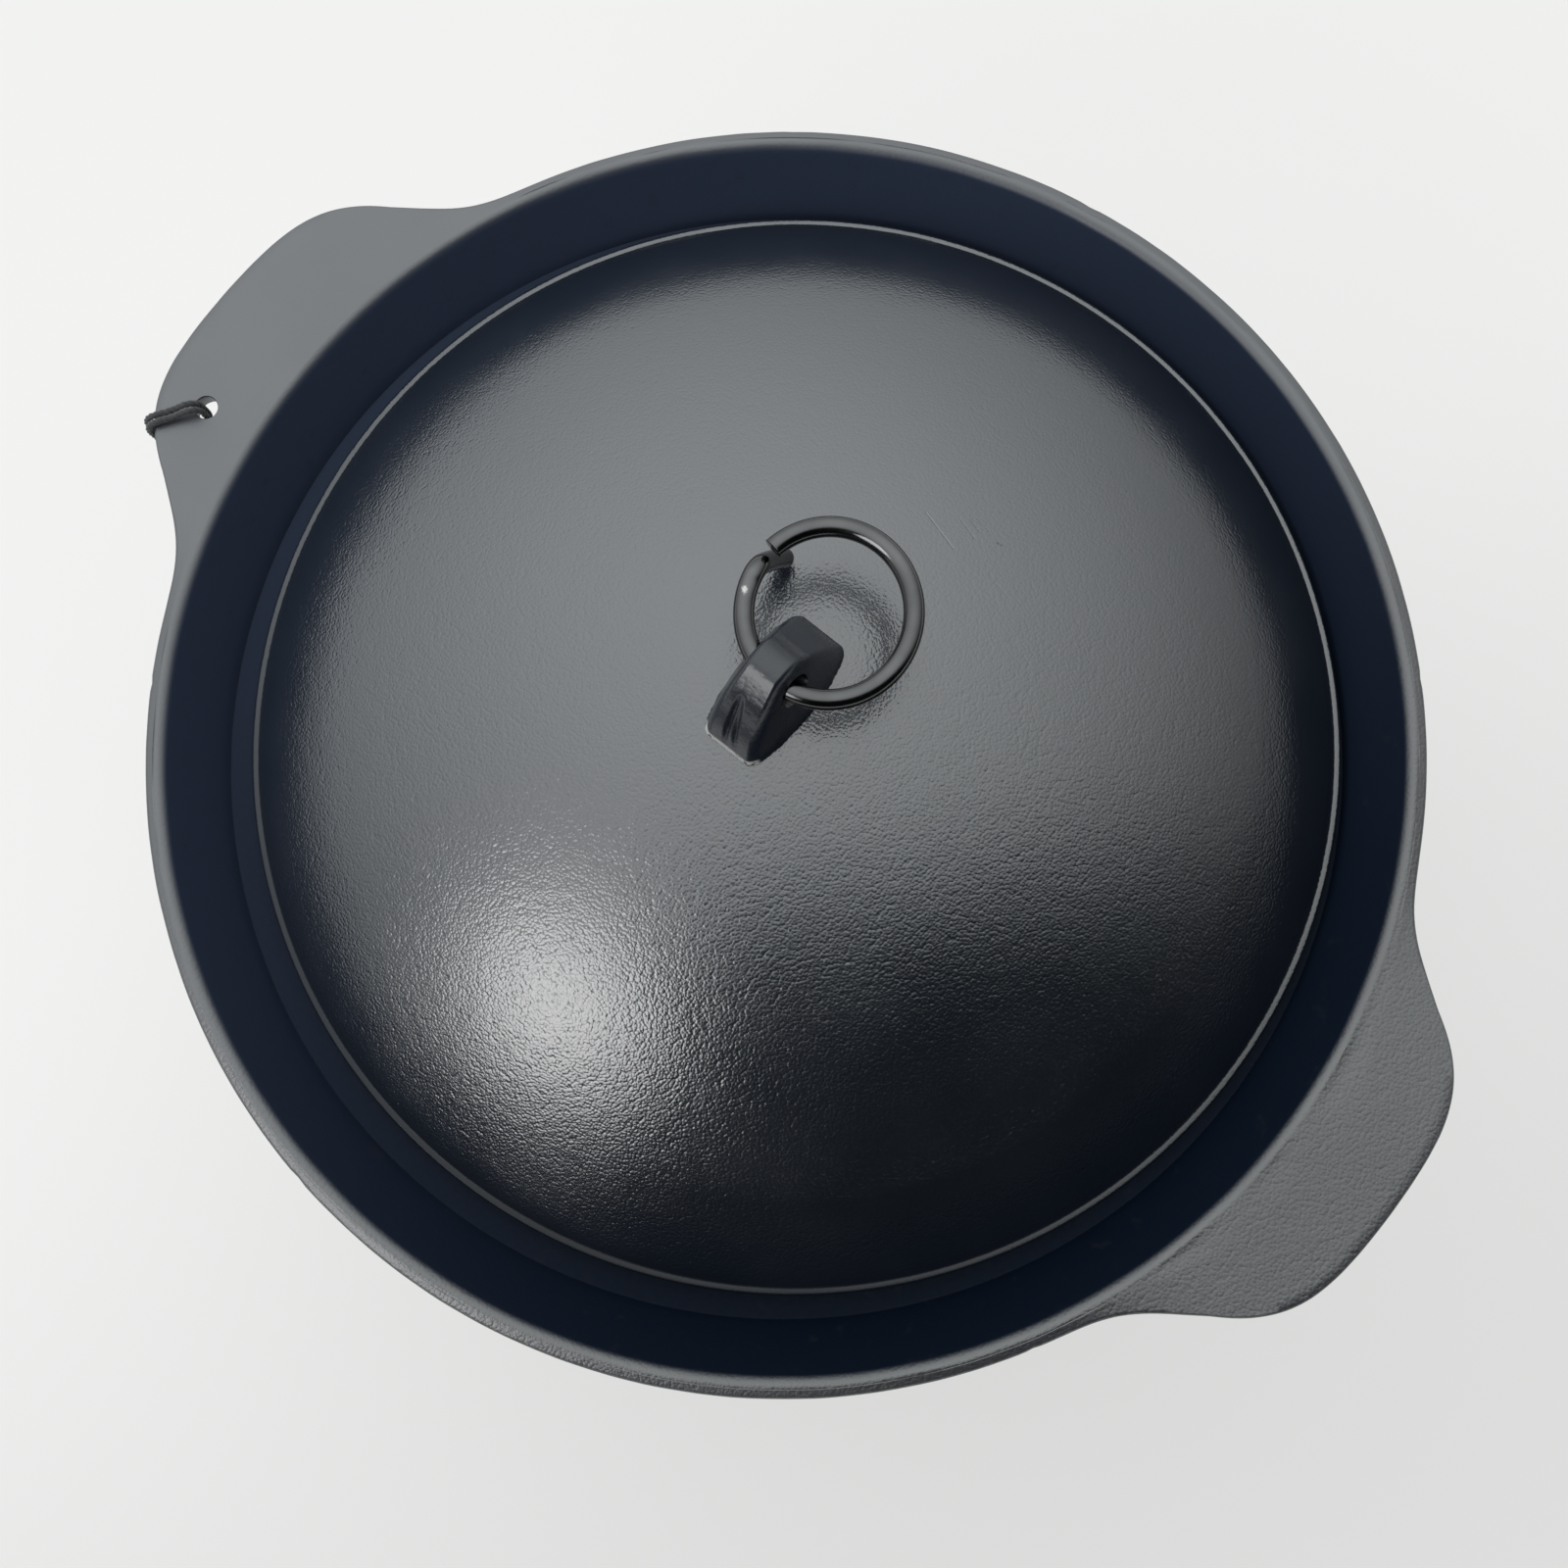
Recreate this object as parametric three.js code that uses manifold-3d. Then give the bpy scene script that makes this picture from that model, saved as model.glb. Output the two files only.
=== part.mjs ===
// A cast iron rice pot: flared pot with two flat handles, a domed drop-in lid, a lug with a lifting
// ring on the lid, and a black cord hitched through a hole in one handle.
// Millimetres, +Z up. The origin is on the table under the middle of the pot, +X runs along the handles.

import * as THREE from 'three';
import { mergeVertices } from 'three/addons/utils/BufferGeometryUtils.js';
import Module from 'manifold-3d';

const wasm = await Module();
wasm.setup();

// Clearance between pieces that rest on each other
const FIT_GAP = 0.3;

// Pot
const POT_INSIDE_RADIUS = 97;
const POT_DEPTH = 88.5;
const POT_WALL = 4.5;
const POT_CORNER_RADIUS = 45;

// Collar above the ledge that carries the lid, up to the rim
const SEAT_DEPTH = 15;
const COLLAR_FLARE = 7.2;
const COLLAR_FAIRING = 16;
const RIM_BAND = 3.5;
const RIM_EDGE = 3.6;
const RIM_INSIDE_ROUND = 2.2;
const EDGE_ROUND = 1.2;

// Handles, cast with the rim
const HANDLE_REACH = 19.2;
const HANDLE_WIDTH = 67.4;
const HANDLE_SHOULDER = 4.65;
const HANDLE_FOOT = 3.9;
const HANDLE_ROOT = 7;

// Cord hole in one handle, which widens downward by its draft per millimetre
const CORD_HOLE_DIAMETER = 4.2;
const CORD_HOLE_DRAFT = 0.19;
const CORD_HOLE_SETBACK = 8;
const CORD_HOLE_ANGLE = THREE.MathUtils.degToRad(188.7);

// Lid, which lies loose on the ledge and has drifted to one side
const LID_PLAY = 3;
const LID_SIDE_GAP = 0.5;
const LID_DRIFT_ANGLE = THREE.MathUtils.degToRad(76.2);
const LID_LEAST_OVERLAP = 2.5;
const LID_EDGE = 3.2;
const LID_EDGE_ROUND = 0.5;
const LID_LIP = 1.5;
const LID_RISE = 38;
const LID_WALL = 4;

// Lug on the lid, fixed by a headed tenon through the lid
const LUG_LENGTH = 24.6;
const LUG_WIDTH = 14;
const LUG_HEIGHT = 16.5;
const LUG_LEAN_ASIDE = -0.7;
const LUG_LEAN_ALONG = -0.4;
const LUG_RIDGE_LENGTH = 4.2;
const LUG_RIDGE_WIDTH = 6.4;
const LUG_END_WIDTH = 9.7;
const LUG_FLANK_ALONG = 0.87;
const LUG_FLANK_UP = 0.36;
const LUG_SHOULDER = 0.42;
const LUG_ROUND = 1.8;
const LUG_SIDE_SHIFT = -1.8;
const LUG_END_SHIFT = -0.4;
const LUG_HOLE_DIAMETER = 5.6;
const LUG_HOLE_HEIGHT = 10.6;
const LUG_HOLE_SHIFT = 0.1;
const TENON_RADIUS = 4;
const TENON_HEAD_RADIUS = 6;
const TENON_HEAD_THICKNESS = 1.6;

// Lifting ring, bent from round wire into a slight oval. One end is cut off square. The other has a knee,
// from which a tail slopes down under the cut end and stands on the dome, so the ring lies level.
const RING_WIRE = 3.4;
const RING_WIDTH = 30.2;
const RING_LENGTH = 31.3;
const RING_LONG_ANGLE = THREE.MathUtils.degToRad(123);
const RING_SIDE_SHIFT = 0.5;
const RING_SEAT = 0.7;
const RING_CUT_ANGLE = THREE.MathUtils.degToRad(169);
const RING_KNEE_LEAD = 1.6;
const RING_KNEE_BEND = 3;
const RING_TAIL_SLOPE = THREE.MathUtils.degToRad(60);

// Cord: two halves from the bight under the handle to the knot
const CORD_DIAMETER = 1.25;
const CORD_HEADING = THREE.MathUtils.degToRad(234.2);
const KNOT_WIDTH = 4.6;
const KNOT_HEIGHT = 5.6;
const KNOT_TAIL = 9;
const KNOT_TAIL_SPREAD = 2.5;

// Route of one half, from the bight's middle to the knot. Each point is [along the handle's top from the
// hole towards the edge, to the side, above the rim], and the other half is its mirror image.
const CORD_ROUTE = [
  [13.9, 0.15, -12.15],
  [13.85, 0.8, -12.1],
  [12.9, 1.8, -11.8],
  [11.0, 2.2, -11.0],
  [8.6, 1.95, -9.6],
  [6.0, 1.4, -8.3],
  [3.7, 0.95, -7.5],
  [1.9, 0.75, -6.5],
  [1.15, 0.69, -4.7],
  [0.98, 0.69, -3.0],
  [0.95, 0.68, -0.9],
  [1.02, 0.68, 0.45],
  [1.85, 0.69, 1.55],
  [3.5, 0.69, 1.85],
  [5.2, 0.69, 1.4],
  [7.0, 0.69, 1.1],
  [8.8, 0.69, 1.1],
  [10.5, 0.7, 0.6],
  [11.5, 0.7, -0.7],
  [11.85, 0.7, -2.5],
  [11.85, 0.7, -6],
  [11.85, 0.7, -13],
  [11.85, 0.72, -25],
  [11.85, 0.75, -45],
  [11.85, 0.72, -62],
  [11.85, 0.69, -78],
];

// Fineness of the round pieces
const POT_COLUMNS = 96;
const LID_COLUMNS = 64;
const BORE_SIDES = 20;
const RING_SIDES = 10;
const RING_STEPS = 60;
const CORD_SIDES = 8;
const CORD_STEPS = 48;

// Sizes that follow from the ones above
const LID_DRIFT = LID_PLAY - LID_SIDE_GAP;
const LID_RADIUS = POT_INSIDE_RADIUS + LID_LEAST_OVERLAP + LID_DRIFT;
const SEAT_HEIGHT = POT_WALL + POT_DEPTH;
const SEAT_RADIUS = LID_RADIUS + LID_PLAY;
const RIM_HEIGHT = SEAT_HEIGHT + SEAT_DEPTH;
const RIM_INSIDE_RADIUS = SEAT_RADIUS + COLLAR_FLARE;
const RIM_RADIUS = RIM_INSIDE_RADIUS + RIM_BAND;
const DOME_EDGE_RADIUS = LID_RADIUS - LID_LIP;
const DOME_RADIUS = (DOME_EDGE_RADIUS ** 2 + LID_RISE ** 2) / (2 * LID_RISE);
const LID_HEIGHT = LID_EDGE + LID_RISE;
const DOME_CENTRE = LID_HEIGHT - DOME_RADIUS;

// Finishes seen in the photograph
const LACQUERED_IRON = { color: 0x2a2c2f, roughness: 0.5, metalness: 0.35 };
const SMOOTH_IRON = { color: 0x26282b, roughness: 0.35, metalness: 0.4 };
const DARK_WIRE = { color: 0x55585a, roughness: 0.2, metalness: 1 };
const BLACK_CORD = { color: 0x0c0c0d, roughness: 0.9, metalness: 0 };

function piece(name, geometry, finish) {
  const mesh = new THREE.Mesh(geometry, new THREE.MeshStandardMaterial(finish));
  mesh.name = name;
  return mesh;
}

// A closed mesh as a solid that can be joined and cut
function toSolid(geometry) {
  const bare = geometry.clone();
  bare.deleteAttribute('normal');
  bare.deleteAttribute('uv');
  const merged = mergeVertices(bare);
  const mesh = new wasm.Mesh({
    numProp: 3,
    vertProperties: new Float32Array(merged.getAttribute('position').array),
    triVerts: new Uint32Array(merged.getIndex().array),
  });
  return new wasm.Manifold(mesh);
}

function toGeometry(solid) {
  const mesh = solid.getMesh();
  const geometry = new THREE.BufferGeometry();
  geometry.setAttribute('position', new THREE.BufferAttribute(mesh.vertProperties, 3));
  geometry.setIndex(new THREE.BufferAttribute(mesh.triVerts, 1));
  geometry.computeVertexNormals();
  return geometry;
}

// Points of an arc, without its first one, as [radius, height]; angles are from +radius towards +height
function arc(centreRadius, centreHeight, radius, from, to, steps) {
  const points = [];
  for (let step = 1; step <= steps; step += 1) {
    const angle = from + ((to - from) * step) / steps;
    points.push([centreRadius + radius * Math.cos(angle), centreHeight + radius * Math.sin(angle)]);
  }
  return points;
}

// A profile of [radius, height] points turned about Z
function turned(profile, columns) {
  const points = profile.map(([radius, height]) => new THREE.Vector2(Math.max(radius, 0), height));
  return new THREE.LatheGeometry(points, columns).rotateX(Math.PI / 2);
}

// A round tube along a curve, with flat ends
function tube(path, diameter, sides, steps) {
  const section = new THREE.Shape();
  section.absarc(0, 0, diameter / 2, 0, 2 * Math.PI);
  const options = { extrudePath: path, steps, curveSegments: sides / 2, bevelEnabled: false };
  return new THREE.ExtrudeGeometry(section, options);
}

function uprightCylinder(radius, height, sides) {
  return new THREE.CylinderGeometry(radius, radius, height, sides).rotateX(Math.PI / 2);
}

// Pot

// How far the rim is pulled out at an angle about Z: nothing along the plain rim, the reach at a handle
function handlePull(angle) {
  const fromHandle = Math.min(Math.abs(angle), Math.PI - Math.abs(angle));
  const halfAngle = HANDLE_WIDTH / 2 / (RIM_RADIUS + HANDLE_REACH / 2);
  const share = fromHandle / halfAngle;
  const steepness = share < 1 ? HANDLE_SHOULDER : HANDLE_FOOT;
  return HANDLE_REACH * 2 ** -(share ** steepness);
}

// The outline of the casting below its edge, from the table up to the root of the handles
function potOutside() {
  const baseRadius = POT_INSIDE_RADIUS - POT_CORNER_RADIUS;
  const outsideCorner = POT_CORNER_RADIUS + POT_WALL;
  const outsideRadius = POT_INSIDE_RADIUS + POT_WALL;
  const flare = new THREE.Vector2(COLLAR_FLARE, SEAT_DEPTH).normalize();
  const rootHeight = RIM_HEIGHT - HANDLE_ROOT;
  const rootShare = (rootHeight - SEAT_HEIGHT) / SEAT_DEPTH;
  const rootRadius = SEAT_RADIUS + COLLAR_FLARE * rootShare + POT_WALL / flare.y;
  const fairing = new THREE.CubicBezierCurve(
    new THREE.Vector2(outsideRadius, SEAT_HEIGHT - COLLAR_FAIRING),
    new THREE.Vector2(outsideRadius, SEAT_HEIGHT - COLLAR_FAIRING / 2),
    new THREE.Vector2(rootRadius, rootHeight).addScaledVector(flare, -COLLAR_FAIRING / 2),
    new THREE.Vector2(rootRadius, rootHeight),
  );
  return [
    [0, 0],
    [baseRadius, 0],
    ...arc(baseRadius, outsideCorner, outsideCorner, -Math.PI / 2, 0, 7),
    ...fairing.getPoints(5).map((point) => [point.x, point.y]),
  ];
}

// The rounded edge of the rim, which the handles pull out
function rimEdge() {
  const centreRadius = RIM_RADIUS - EDGE_ROUND;
  const lowCentre = RIM_HEIGHT - RIM_EDGE + EDGE_ROUND;
  const highCentre = RIM_HEIGHT - EDGE_ROUND;
  return [
    [centreRadius, RIM_HEIGHT - RIM_EDGE],
    ...arc(centreRadius, lowCentre, EDGE_ROUND, -Math.PI / 2, 0, 2),
    [RIM_RADIUS, highCentre],
    ...arc(centreRadius, highCentre, EDGE_ROUND, 0, Math.PI / 2, 2),
  ];
}

// The inside of the casting, from the rim down the collar to the ledge and the floor
function potInside() {
  const baseRadius = POT_INSIDE_RADIUS - POT_CORNER_RADIUS;
  const cornerHeight = POT_WALL + POT_CORNER_RADIUS;
  const lean = Math.PI / 2 + Math.atan2(SEAT_DEPTH, COLLAR_FLARE);
  const roundRadius = RIM_INSIDE_RADIUS + RIM_INSIDE_ROUND * Math.tan(lean / 2 - Math.PI / 4);
  const roundHeight = RIM_HEIGHT - RIM_INSIDE_ROUND;
  return [
    [roundRadius, RIM_HEIGHT],
    ...arc(roundRadius, roundHeight, RIM_INSIDE_ROUND, Math.PI / 2, lean, 3),
    [SEAT_RADIUS, SEAT_HEIGHT],
    [POT_INSIDE_RADIUS, SEAT_HEIGHT],
    [POT_INSIDE_RADIUS, cornerHeight],
    ...arc(baseRadius, cornerHeight, POT_CORNER_RADIUS, 0, -Math.PI / 2, 6),
    [0, POT_WALL],
  ];
}

const cordHole = new THREE.Vector3(
  (RIM_RADIUS + CORD_HOLE_SETBACK) * Math.cos(CORD_HOLE_ANGLE),
  (RIM_RADIUS + CORD_HOLE_SETBACK) * Math.sin(CORD_HOLE_ANGLE),
  RIM_HEIGHT,
);

function potBody() {
  const outside = potOutside();
  const edge = rimEdge();
  const profile = [...outside, ...edge, ...potInside()];
  const geometry = turned(profile, POT_COLUMNS);
  const position = geometry.getAttribute('position');
  const crowding = 0.3;
  for (let index = 0; index < position.count; index += 1) {
    const row = index % profile.length;
    const pulled = row >= outside.length && row < outside.length + edge.length;
    const even = Math.atan2(position.getY(index), position.getX(index));
    // The columns crowd towards the handles, where the outline bends most
    const angle = even - crowding * Math.sin(2 * even);
    const radius = profile[row][0] + (pulled ? handlePull(angle) : 0);
    position.setX(index, radius * Math.cos(angle));
    position.setY(index, radius * Math.sin(angle));
  }
  const holeSpread = 2 * HANDLE_ROOT * CORD_HOLE_DRAFT;
  const hole = turned([
    [0, -2 * HANDLE_ROOT],
    [CORD_HOLE_DIAMETER / 2 + holeSpread, -2 * HANDLE_ROOT],
    [CORD_HOLE_DIAMETER / 2, 0],
    [CORD_HOLE_DIAMETER / 2, HANDLE_ROOT],
    [0, HANDLE_ROOT],
  ], BORE_SIDES);
  hole.translate(cordHole.x, cordHole.y, cordHole.z);
  return toGeometry(toSolid(geometry).subtract(toSolid(hole)));
}

// Lid, drawn with its underside at height 0

// Points of a dome about the lid's axis, from the height where it starts up to its top
function domeProfile(radius, startHeight, steps) {
  const start = Math.asin((startHeight - DOME_CENTRE) / radius);
  const startRadius = radius * Math.cos(start);
  return [[startRadius, startHeight], ...arc(0, DOME_CENTRE, radius, start, Math.PI / 2, steps)];
}

function lid() {
  const inside = domeProfile(DOME_RADIUS - LID_WALL, 0, 9).reverse();
  const profile = [
    ...inside,
    [LID_RADIUS - LID_EDGE_ROUND, 0],
    [LID_RADIUS, LID_EDGE_ROUND],
    [LID_RADIUS, LID_EDGE - LID_EDGE_ROUND],
    [LID_RADIUS - LID_EDGE_ROUND, LID_EDGE],
    ...domeProfile(DOME_RADIUS, LID_EDGE, 10),
  ];
  const tenonHole = uprightCylinder(TENON_RADIUS + FIT_GAP, 4 * LID_WALL, BORE_SIDES);
  tenonHole.translate(LUG_SIDE_SHIFT, 0, LID_HEIGHT);
  return toGeometry(toSolid(turned(profile, LID_COLUMNS)).subtract(toSolid(tenonHole)));
}

// Lug, drawn with the top of the dome at height 0 and its length along Y

// Half the lug's width at a place along it and a height: it tapers upward and towards its ends
function lugHalfWidth(along, height) {
  const middle = THREE.MathUtils.lerp(LUG_WIDTH, LUG_RIDGE_WIDTH, height / LUG_HEIGHT) / 2;
  const toEnd = along / (LUG_LENGTH / 2);
  return middle * (1 - (1 - LUG_END_WIDTH / LUG_WIDTH) * toEnd ** 2);
}

function lugBlock() {
  const end = LUG_LENGTH / 2;
  const ridge = LUG_RIDGE_LENGTH / 2;
  const foot = -2 * LUG_ROUND;
  const footSteps = 8;
  const flank = end * LUG_FLANK_ALONG;
  const flankHeight = LUG_HEIGHT * LUG_FLANK_UP;
  const shoulder = end * LUG_SHOULDER;
  const side = new THREE.Shape();
  side.moveTo(-end, foot);
  for (let step = 1; step <= footSteps; step += 1) {
    side.lineTo(THREE.MathUtils.lerp(-end, end, step / footSteps), foot);
  }
  side.lineTo(end, 0);
  side.bezierCurveTo(flank, flankHeight, shoulder, LUG_HEIGHT, ridge, LUG_HEIGHT);
  side.lineTo(-ridge, LUG_HEIGHT);
  side.bezierCurveTo(-shoulder, LUG_HEIGHT, -flank, flankHeight, -end, 0);
  side.closePath();
  const options = {
    depth: LUG_WIDTH - 2 * LUG_ROUND,
    bevelThickness: LUG_ROUND,
    bevelSize: LUG_ROUND,
    bevelOffset: -LUG_ROUND,
    bevelSegments: 3,
    curveSegments: 8,
  };
  const geometry = new THREE.ExtrudeGeometry(side, options);
  geometry.translate(0, 0, -options.depth / 2).rotateX(Math.PI / 2).rotateZ(Math.PI / 2);
  const position = geometry.getAttribute('position');
  for (let index = 0; index < position.count; index += 1) {
    const halfWidth = lugHalfWidth(position.getY(index), position.getZ(index));
    const lean = position.getZ(index) / LUG_HEIGHT;
    position.setX(index, (position.getX(index) * halfWidth) / (LUG_WIDTH / 2) + LUG_LEAN_ASIDE * lean);
    position.setY(index, position.getY(index) + LUG_END_SHIFT + LUG_LEAN_ALONG * lean);
  }
  return geometry;
}

function tenon() {
  const underside = -LID_WALL - 2 * FIT_GAP;
  const profile = [
    [0, underside - TENON_HEAD_THICKNESS],
    [TENON_HEAD_RADIUS, underside - TENON_HEAD_THICKNESS],
    [TENON_HEAD_RADIUS, underside],
    [TENON_RADIUS, underside],
    [TENON_RADIUS, LUG_ROUND],
    [0, LUG_ROUND],
  ];
  return turned(profile, BORE_SIDES);
}

function lidLug() {
  const dome = domeProfile(DOME_RADIUS + FIT_GAP, LID_EDGE, 10);
  const underDome = turned([[0, LID_EDGE], ...dome], LID_COLUMNS);
  underDome.translate(-LUG_SIDE_SHIFT, 0, -LID_HEIGHT);
  const crossHole = uprightCylinder(LUG_HOLE_DIAMETER / 2, 2 * LUG_WIDTH, BORE_SIDES);
  crossHole.rotateY(Math.PI / 2).translate(0, LUG_HOLE_SHIFT, LUG_HOLE_HEIGHT);
  const seated = toSolid(lugBlock()).subtract(toSolid(underDome));
  return toGeometry(seated.add(toSolid(tenon())).subtract(toSolid(crossHole)));
}

// Ring, drawn level about the middle of the lug's hole, with the hole along X and the ring towards +Y

const ringMean = ((RING_WIDTH + RING_LENGTH) / 2 - RING_WIRE) / 2;
const ringOval = (RING_LENGTH - RING_WIDTH) / 4;
const ringTurn = 2 * Math.PI - (RING_KNEE_LEAD * RING_WIRE) / ringMean;

// The wire's middle at an angle about the ring's own middle
function ringPoint(angle, drop = 0) {
  const radiusAt = (at) => ringMean + ringOval * Math.cos(2 * (at - RING_LONG_ANGLE));
  const centre = radiusAt(-Math.PI / 2) - RING_SEAT;
  const radius = radiusAt(angle);
  const aside = RING_SIDE_SHIFT + radius * Math.cos(angle);
  return new THREE.Vector3(aside, centre + radius * Math.sin(angle), -drop);
}

// A point of the tail, from how far along the bend and then the straight it is
function tailPoint(along) {
  const bent = Math.min(along / RING_KNEE_BEND, RING_TAIL_SLOPE);
  const straight = Math.max(along - RING_KNEE_BEND * RING_TAIL_SLOPE, 0);
  const advance = RING_KNEE_BEND * Math.sin(bent) + straight * Math.cos(RING_TAIL_SLOPE);
  const drop = RING_KNEE_BEND * (1 - Math.cos(bent)) + straight * Math.sin(RING_TAIL_SLOPE);
  return ringPoint(RING_CUT_ANGLE - ringTurn - advance / ringMean, drop);
}

// The length of the tail that brings its tip down to the dome
function tailLength() {
  const bend = RING_KNEE_BEND * RING_TAIL_SLOPE;
  const bendDrop = RING_KNEE_BEND * (1 - Math.cos(RING_TAIL_SLOPE));
  const lengthFor = (drop) => bend + (drop - bendDrop) / Math.sin(RING_TAIL_SLOPE);
  const tip = tailPoint(lengthFor(LUG_HOLE_HEIGHT));
  const fromAxis = Math.hypot(tip.x + LUG_SIDE_SHIFT, tip.y + LUG_HOLE_SHIFT);
  const domeDrop = DOME_RADIUS - Math.sqrt(DOME_RADIUS ** 2 - fromAxis ** 2);
  const underTip = (RING_WIRE / 2) * Math.cos(RING_TAIL_SLOPE);
  return lengthFor(LUG_HOLE_HEIGHT + domeDrop - underTip - FIT_GAP);
}

class RingWire extends THREE.Curve {
  getPoint(share, target = new THREE.Vector3()) {
    const around = ringTurn * ringMean;
    const along = share * (around + tailLength());
    if (along < around) {
      return target.copy(ringPoint(RING_CUT_ANGLE - along / ringMean));
    }
    return target.copy(tailPoint(along - around));
  }
}

// Cord

function cordHalf(side) {
  const points = CORD_ROUTE.map(([along, aside, up]) => new THREE.Vector3(along, side * aside, up));
  const path = new THREE.CatmullRomCurve3(points, false, 'centripetal');
  return tube(path, CORD_DIAMETER, CORD_SIDES, CORD_STEPS);
}

function cordKnot() {
  const [along, aside, top] = CORD_ROUTE.at(-1);
  const middle = top - FIT_GAP - KNOT_HEIGHT / 2;
  const lump = new THREE.SphereGeometry(1, 16, 10).scale(KNOT_WIDTH / 2, KNOT_WIDTH / 2, KNOT_HEIGHT / 2);
  let solid = toSolid(lump.rotateX(Math.PI / 2).translate(along, 0, middle));
  for (const side of [-1, 1]) {
    const start = new THREE.Vector3(along, side * aside, middle);
    const tip = middle - KNOT_HEIGHT / 2 - KNOT_TAIL;
    const end = new THREE.Vector3(along, KNOT_TAIL_SPREAD * side * aside, tip);
    solid = solid.add(toSolid(tube(new THREE.LineCurve3(start, end), CORD_DIAMETER, CORD_SIDES, 1)));
  }
  return toGeometry(solid);
}

// Assembly

const ricePot = new THREE.Group();
ricePot.add(piece('pot_body', potBody(), LACQUERED_IRON));

const lidGroup = new THREE.Group();
lidGroup.position.set(
  LID_DRIFT * Math.cos(LID_DRIFT_ANGLE),
  LID_DRIFT * Math.sin(LID_DRIFT_ANGLE),
  SEAT_HEIGHT + FIT_GAP,
);
lidGroup.add(piece('lid', lid(), LACQUERED_IRON));
ricePot.add(lidGroup);

const lugGroup = new THREE.Group();
lugGroup.position.set(LUG_SIDE_SHIFT, 0, LID_HEIGHT);
lugGroup.add(piece('lid_lug', lidLug(), SMOOTH_IRON));
lidGroup.add(lugGroup);

const ring = piece('lid_ring', tube(new RingWire(), RING_WIRE, RING_SIDES, RING_STEPS), DARK_WIRE);
ring.position.set(0, LUG_HOLE_SHIFT, LUG_HOLE_HEIGHT);
lugGroup.add(ring);

const cordGroup = new THREE.Group();
cordGroup.position.copy(cordHole);
cordGroup.rotation.z = CORD_HEADING;
cordGroup.add(piece('cord_left', cordHalf(1), BLACK_CORD));
cordGroup.add(piece('cord_right', cordHalf(-1), BLACK_CORD));
cordGroup.add(piece('cord_knot', cordKnot(), BLACK_CORD));
ricePot.add(cordGroup);

export default ricePot;
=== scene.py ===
# %% [markdown]
# A black cast iron rice pot
#
# The pot stands on a pale table and is seen from almost straight above. It has a flared collar, two flat
# handles, a domed lid that lies loose inside the collar, a lug with a lifting ring on the lid, and a thin
# black cord that is hitched through a hole in one handle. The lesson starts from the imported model, which
# says where each piece is and what moves, and gives every piece a finer shape and a finish.

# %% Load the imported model
import math

import bpy
import bmesh
import numpy as np
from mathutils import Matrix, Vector, noise


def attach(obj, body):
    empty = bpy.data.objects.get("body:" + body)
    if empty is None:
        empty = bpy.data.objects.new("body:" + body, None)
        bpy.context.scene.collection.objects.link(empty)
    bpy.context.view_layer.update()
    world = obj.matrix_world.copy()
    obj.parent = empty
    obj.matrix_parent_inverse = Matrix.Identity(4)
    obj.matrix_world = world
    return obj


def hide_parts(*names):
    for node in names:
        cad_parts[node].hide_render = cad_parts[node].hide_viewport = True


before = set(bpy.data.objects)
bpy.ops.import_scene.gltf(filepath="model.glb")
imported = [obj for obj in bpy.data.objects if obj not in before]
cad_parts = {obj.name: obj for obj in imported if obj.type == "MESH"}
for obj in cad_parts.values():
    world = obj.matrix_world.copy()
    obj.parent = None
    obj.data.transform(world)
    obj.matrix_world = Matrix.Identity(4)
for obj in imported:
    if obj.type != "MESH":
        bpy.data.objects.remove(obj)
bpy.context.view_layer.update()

# %% [markdown]
# The camera
#
# The photograph was taken with the phone held over the pot, tilted by less than eight degrees. The rim
# shows as a circle that is only a little wider below than above, which fixes the height and the tilt.
# A lens as long as the sensor is wide gives the phone's field of view. The other way, moving the camera
# until the picture looks right, never gets the lid and the rim to agree at the same time.

# %% Place the camera
CAMERA_PLACE = (0.03624, -0.03035, 0.3862)
CAMERA_TILT = (7.51, 1.70)
PICTURE_TURN = 38.7
SENSOR_WIDTH = 36

camera_data = bpy.data.cameras.new("photo_camera")
camera_data.sensor_width = SENSOR_WIDTH
camera_data.lens = SENSOR_WIDTH
camera_data.clip_start = 0.01
camera = bpy.data.objects.new("photo_camera", camera_data)
camera.location = CAMERA_PLACE
camera.rotation_euler = [math.radians(angle) for angle in (*CAMERA_TILT, PICTURE_TURN)]
bpy.context.collection.objects.link(camera)
bpy.context.scene.camera = camera
bpy.context.scene.view_settings.view_transform = "Standard"
print("camera at", [round(value, 4) for value in camera.location])

# %% [markdown]
# A helper for meshes
#
# Every piece of the pot is a stack of loops: the turned castings, the bent wire, the cord and even the
# lug, which is a row of cross sections. One function skins such a stack into a closed mesh. A loop that
# shrinks to a point closes an end, because points in the same place are merged. Writing the loops as
# formulas keeps the sizes readable, where modelling by hand would hide them in the mesh.

# %% Skin a stack of loops
MM = 0.001
SAME_PLACE = 1e-7
SLIVER_WIDTH = 3e-6


def skin(name, loops, sharp=38):
    """Join equal closed loops of points, in millimetres, into one closed mesh object."""
    loops = np.asarray(loops) * MM
    rows, columns = loops.shape[:2]
    faces = []
    for row in range(rows - 1):
        for column in range(columns):
            after = (column + 1) % columns
            low, high = row * columns, (row + 1) * columns
            faces.append((low + column, low + after, high + after, high + column))
    mesh = bpy.data.meshes.new(name)
    mesh.from_pydata(loops.reshape(-1, 3).tolist(), [], faces)
    settle(mesh, sharp)
    piece = bpy.data.objects.new(name, mesh)
    bpy.context.collection.objects.link(piece)
    return piece


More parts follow.
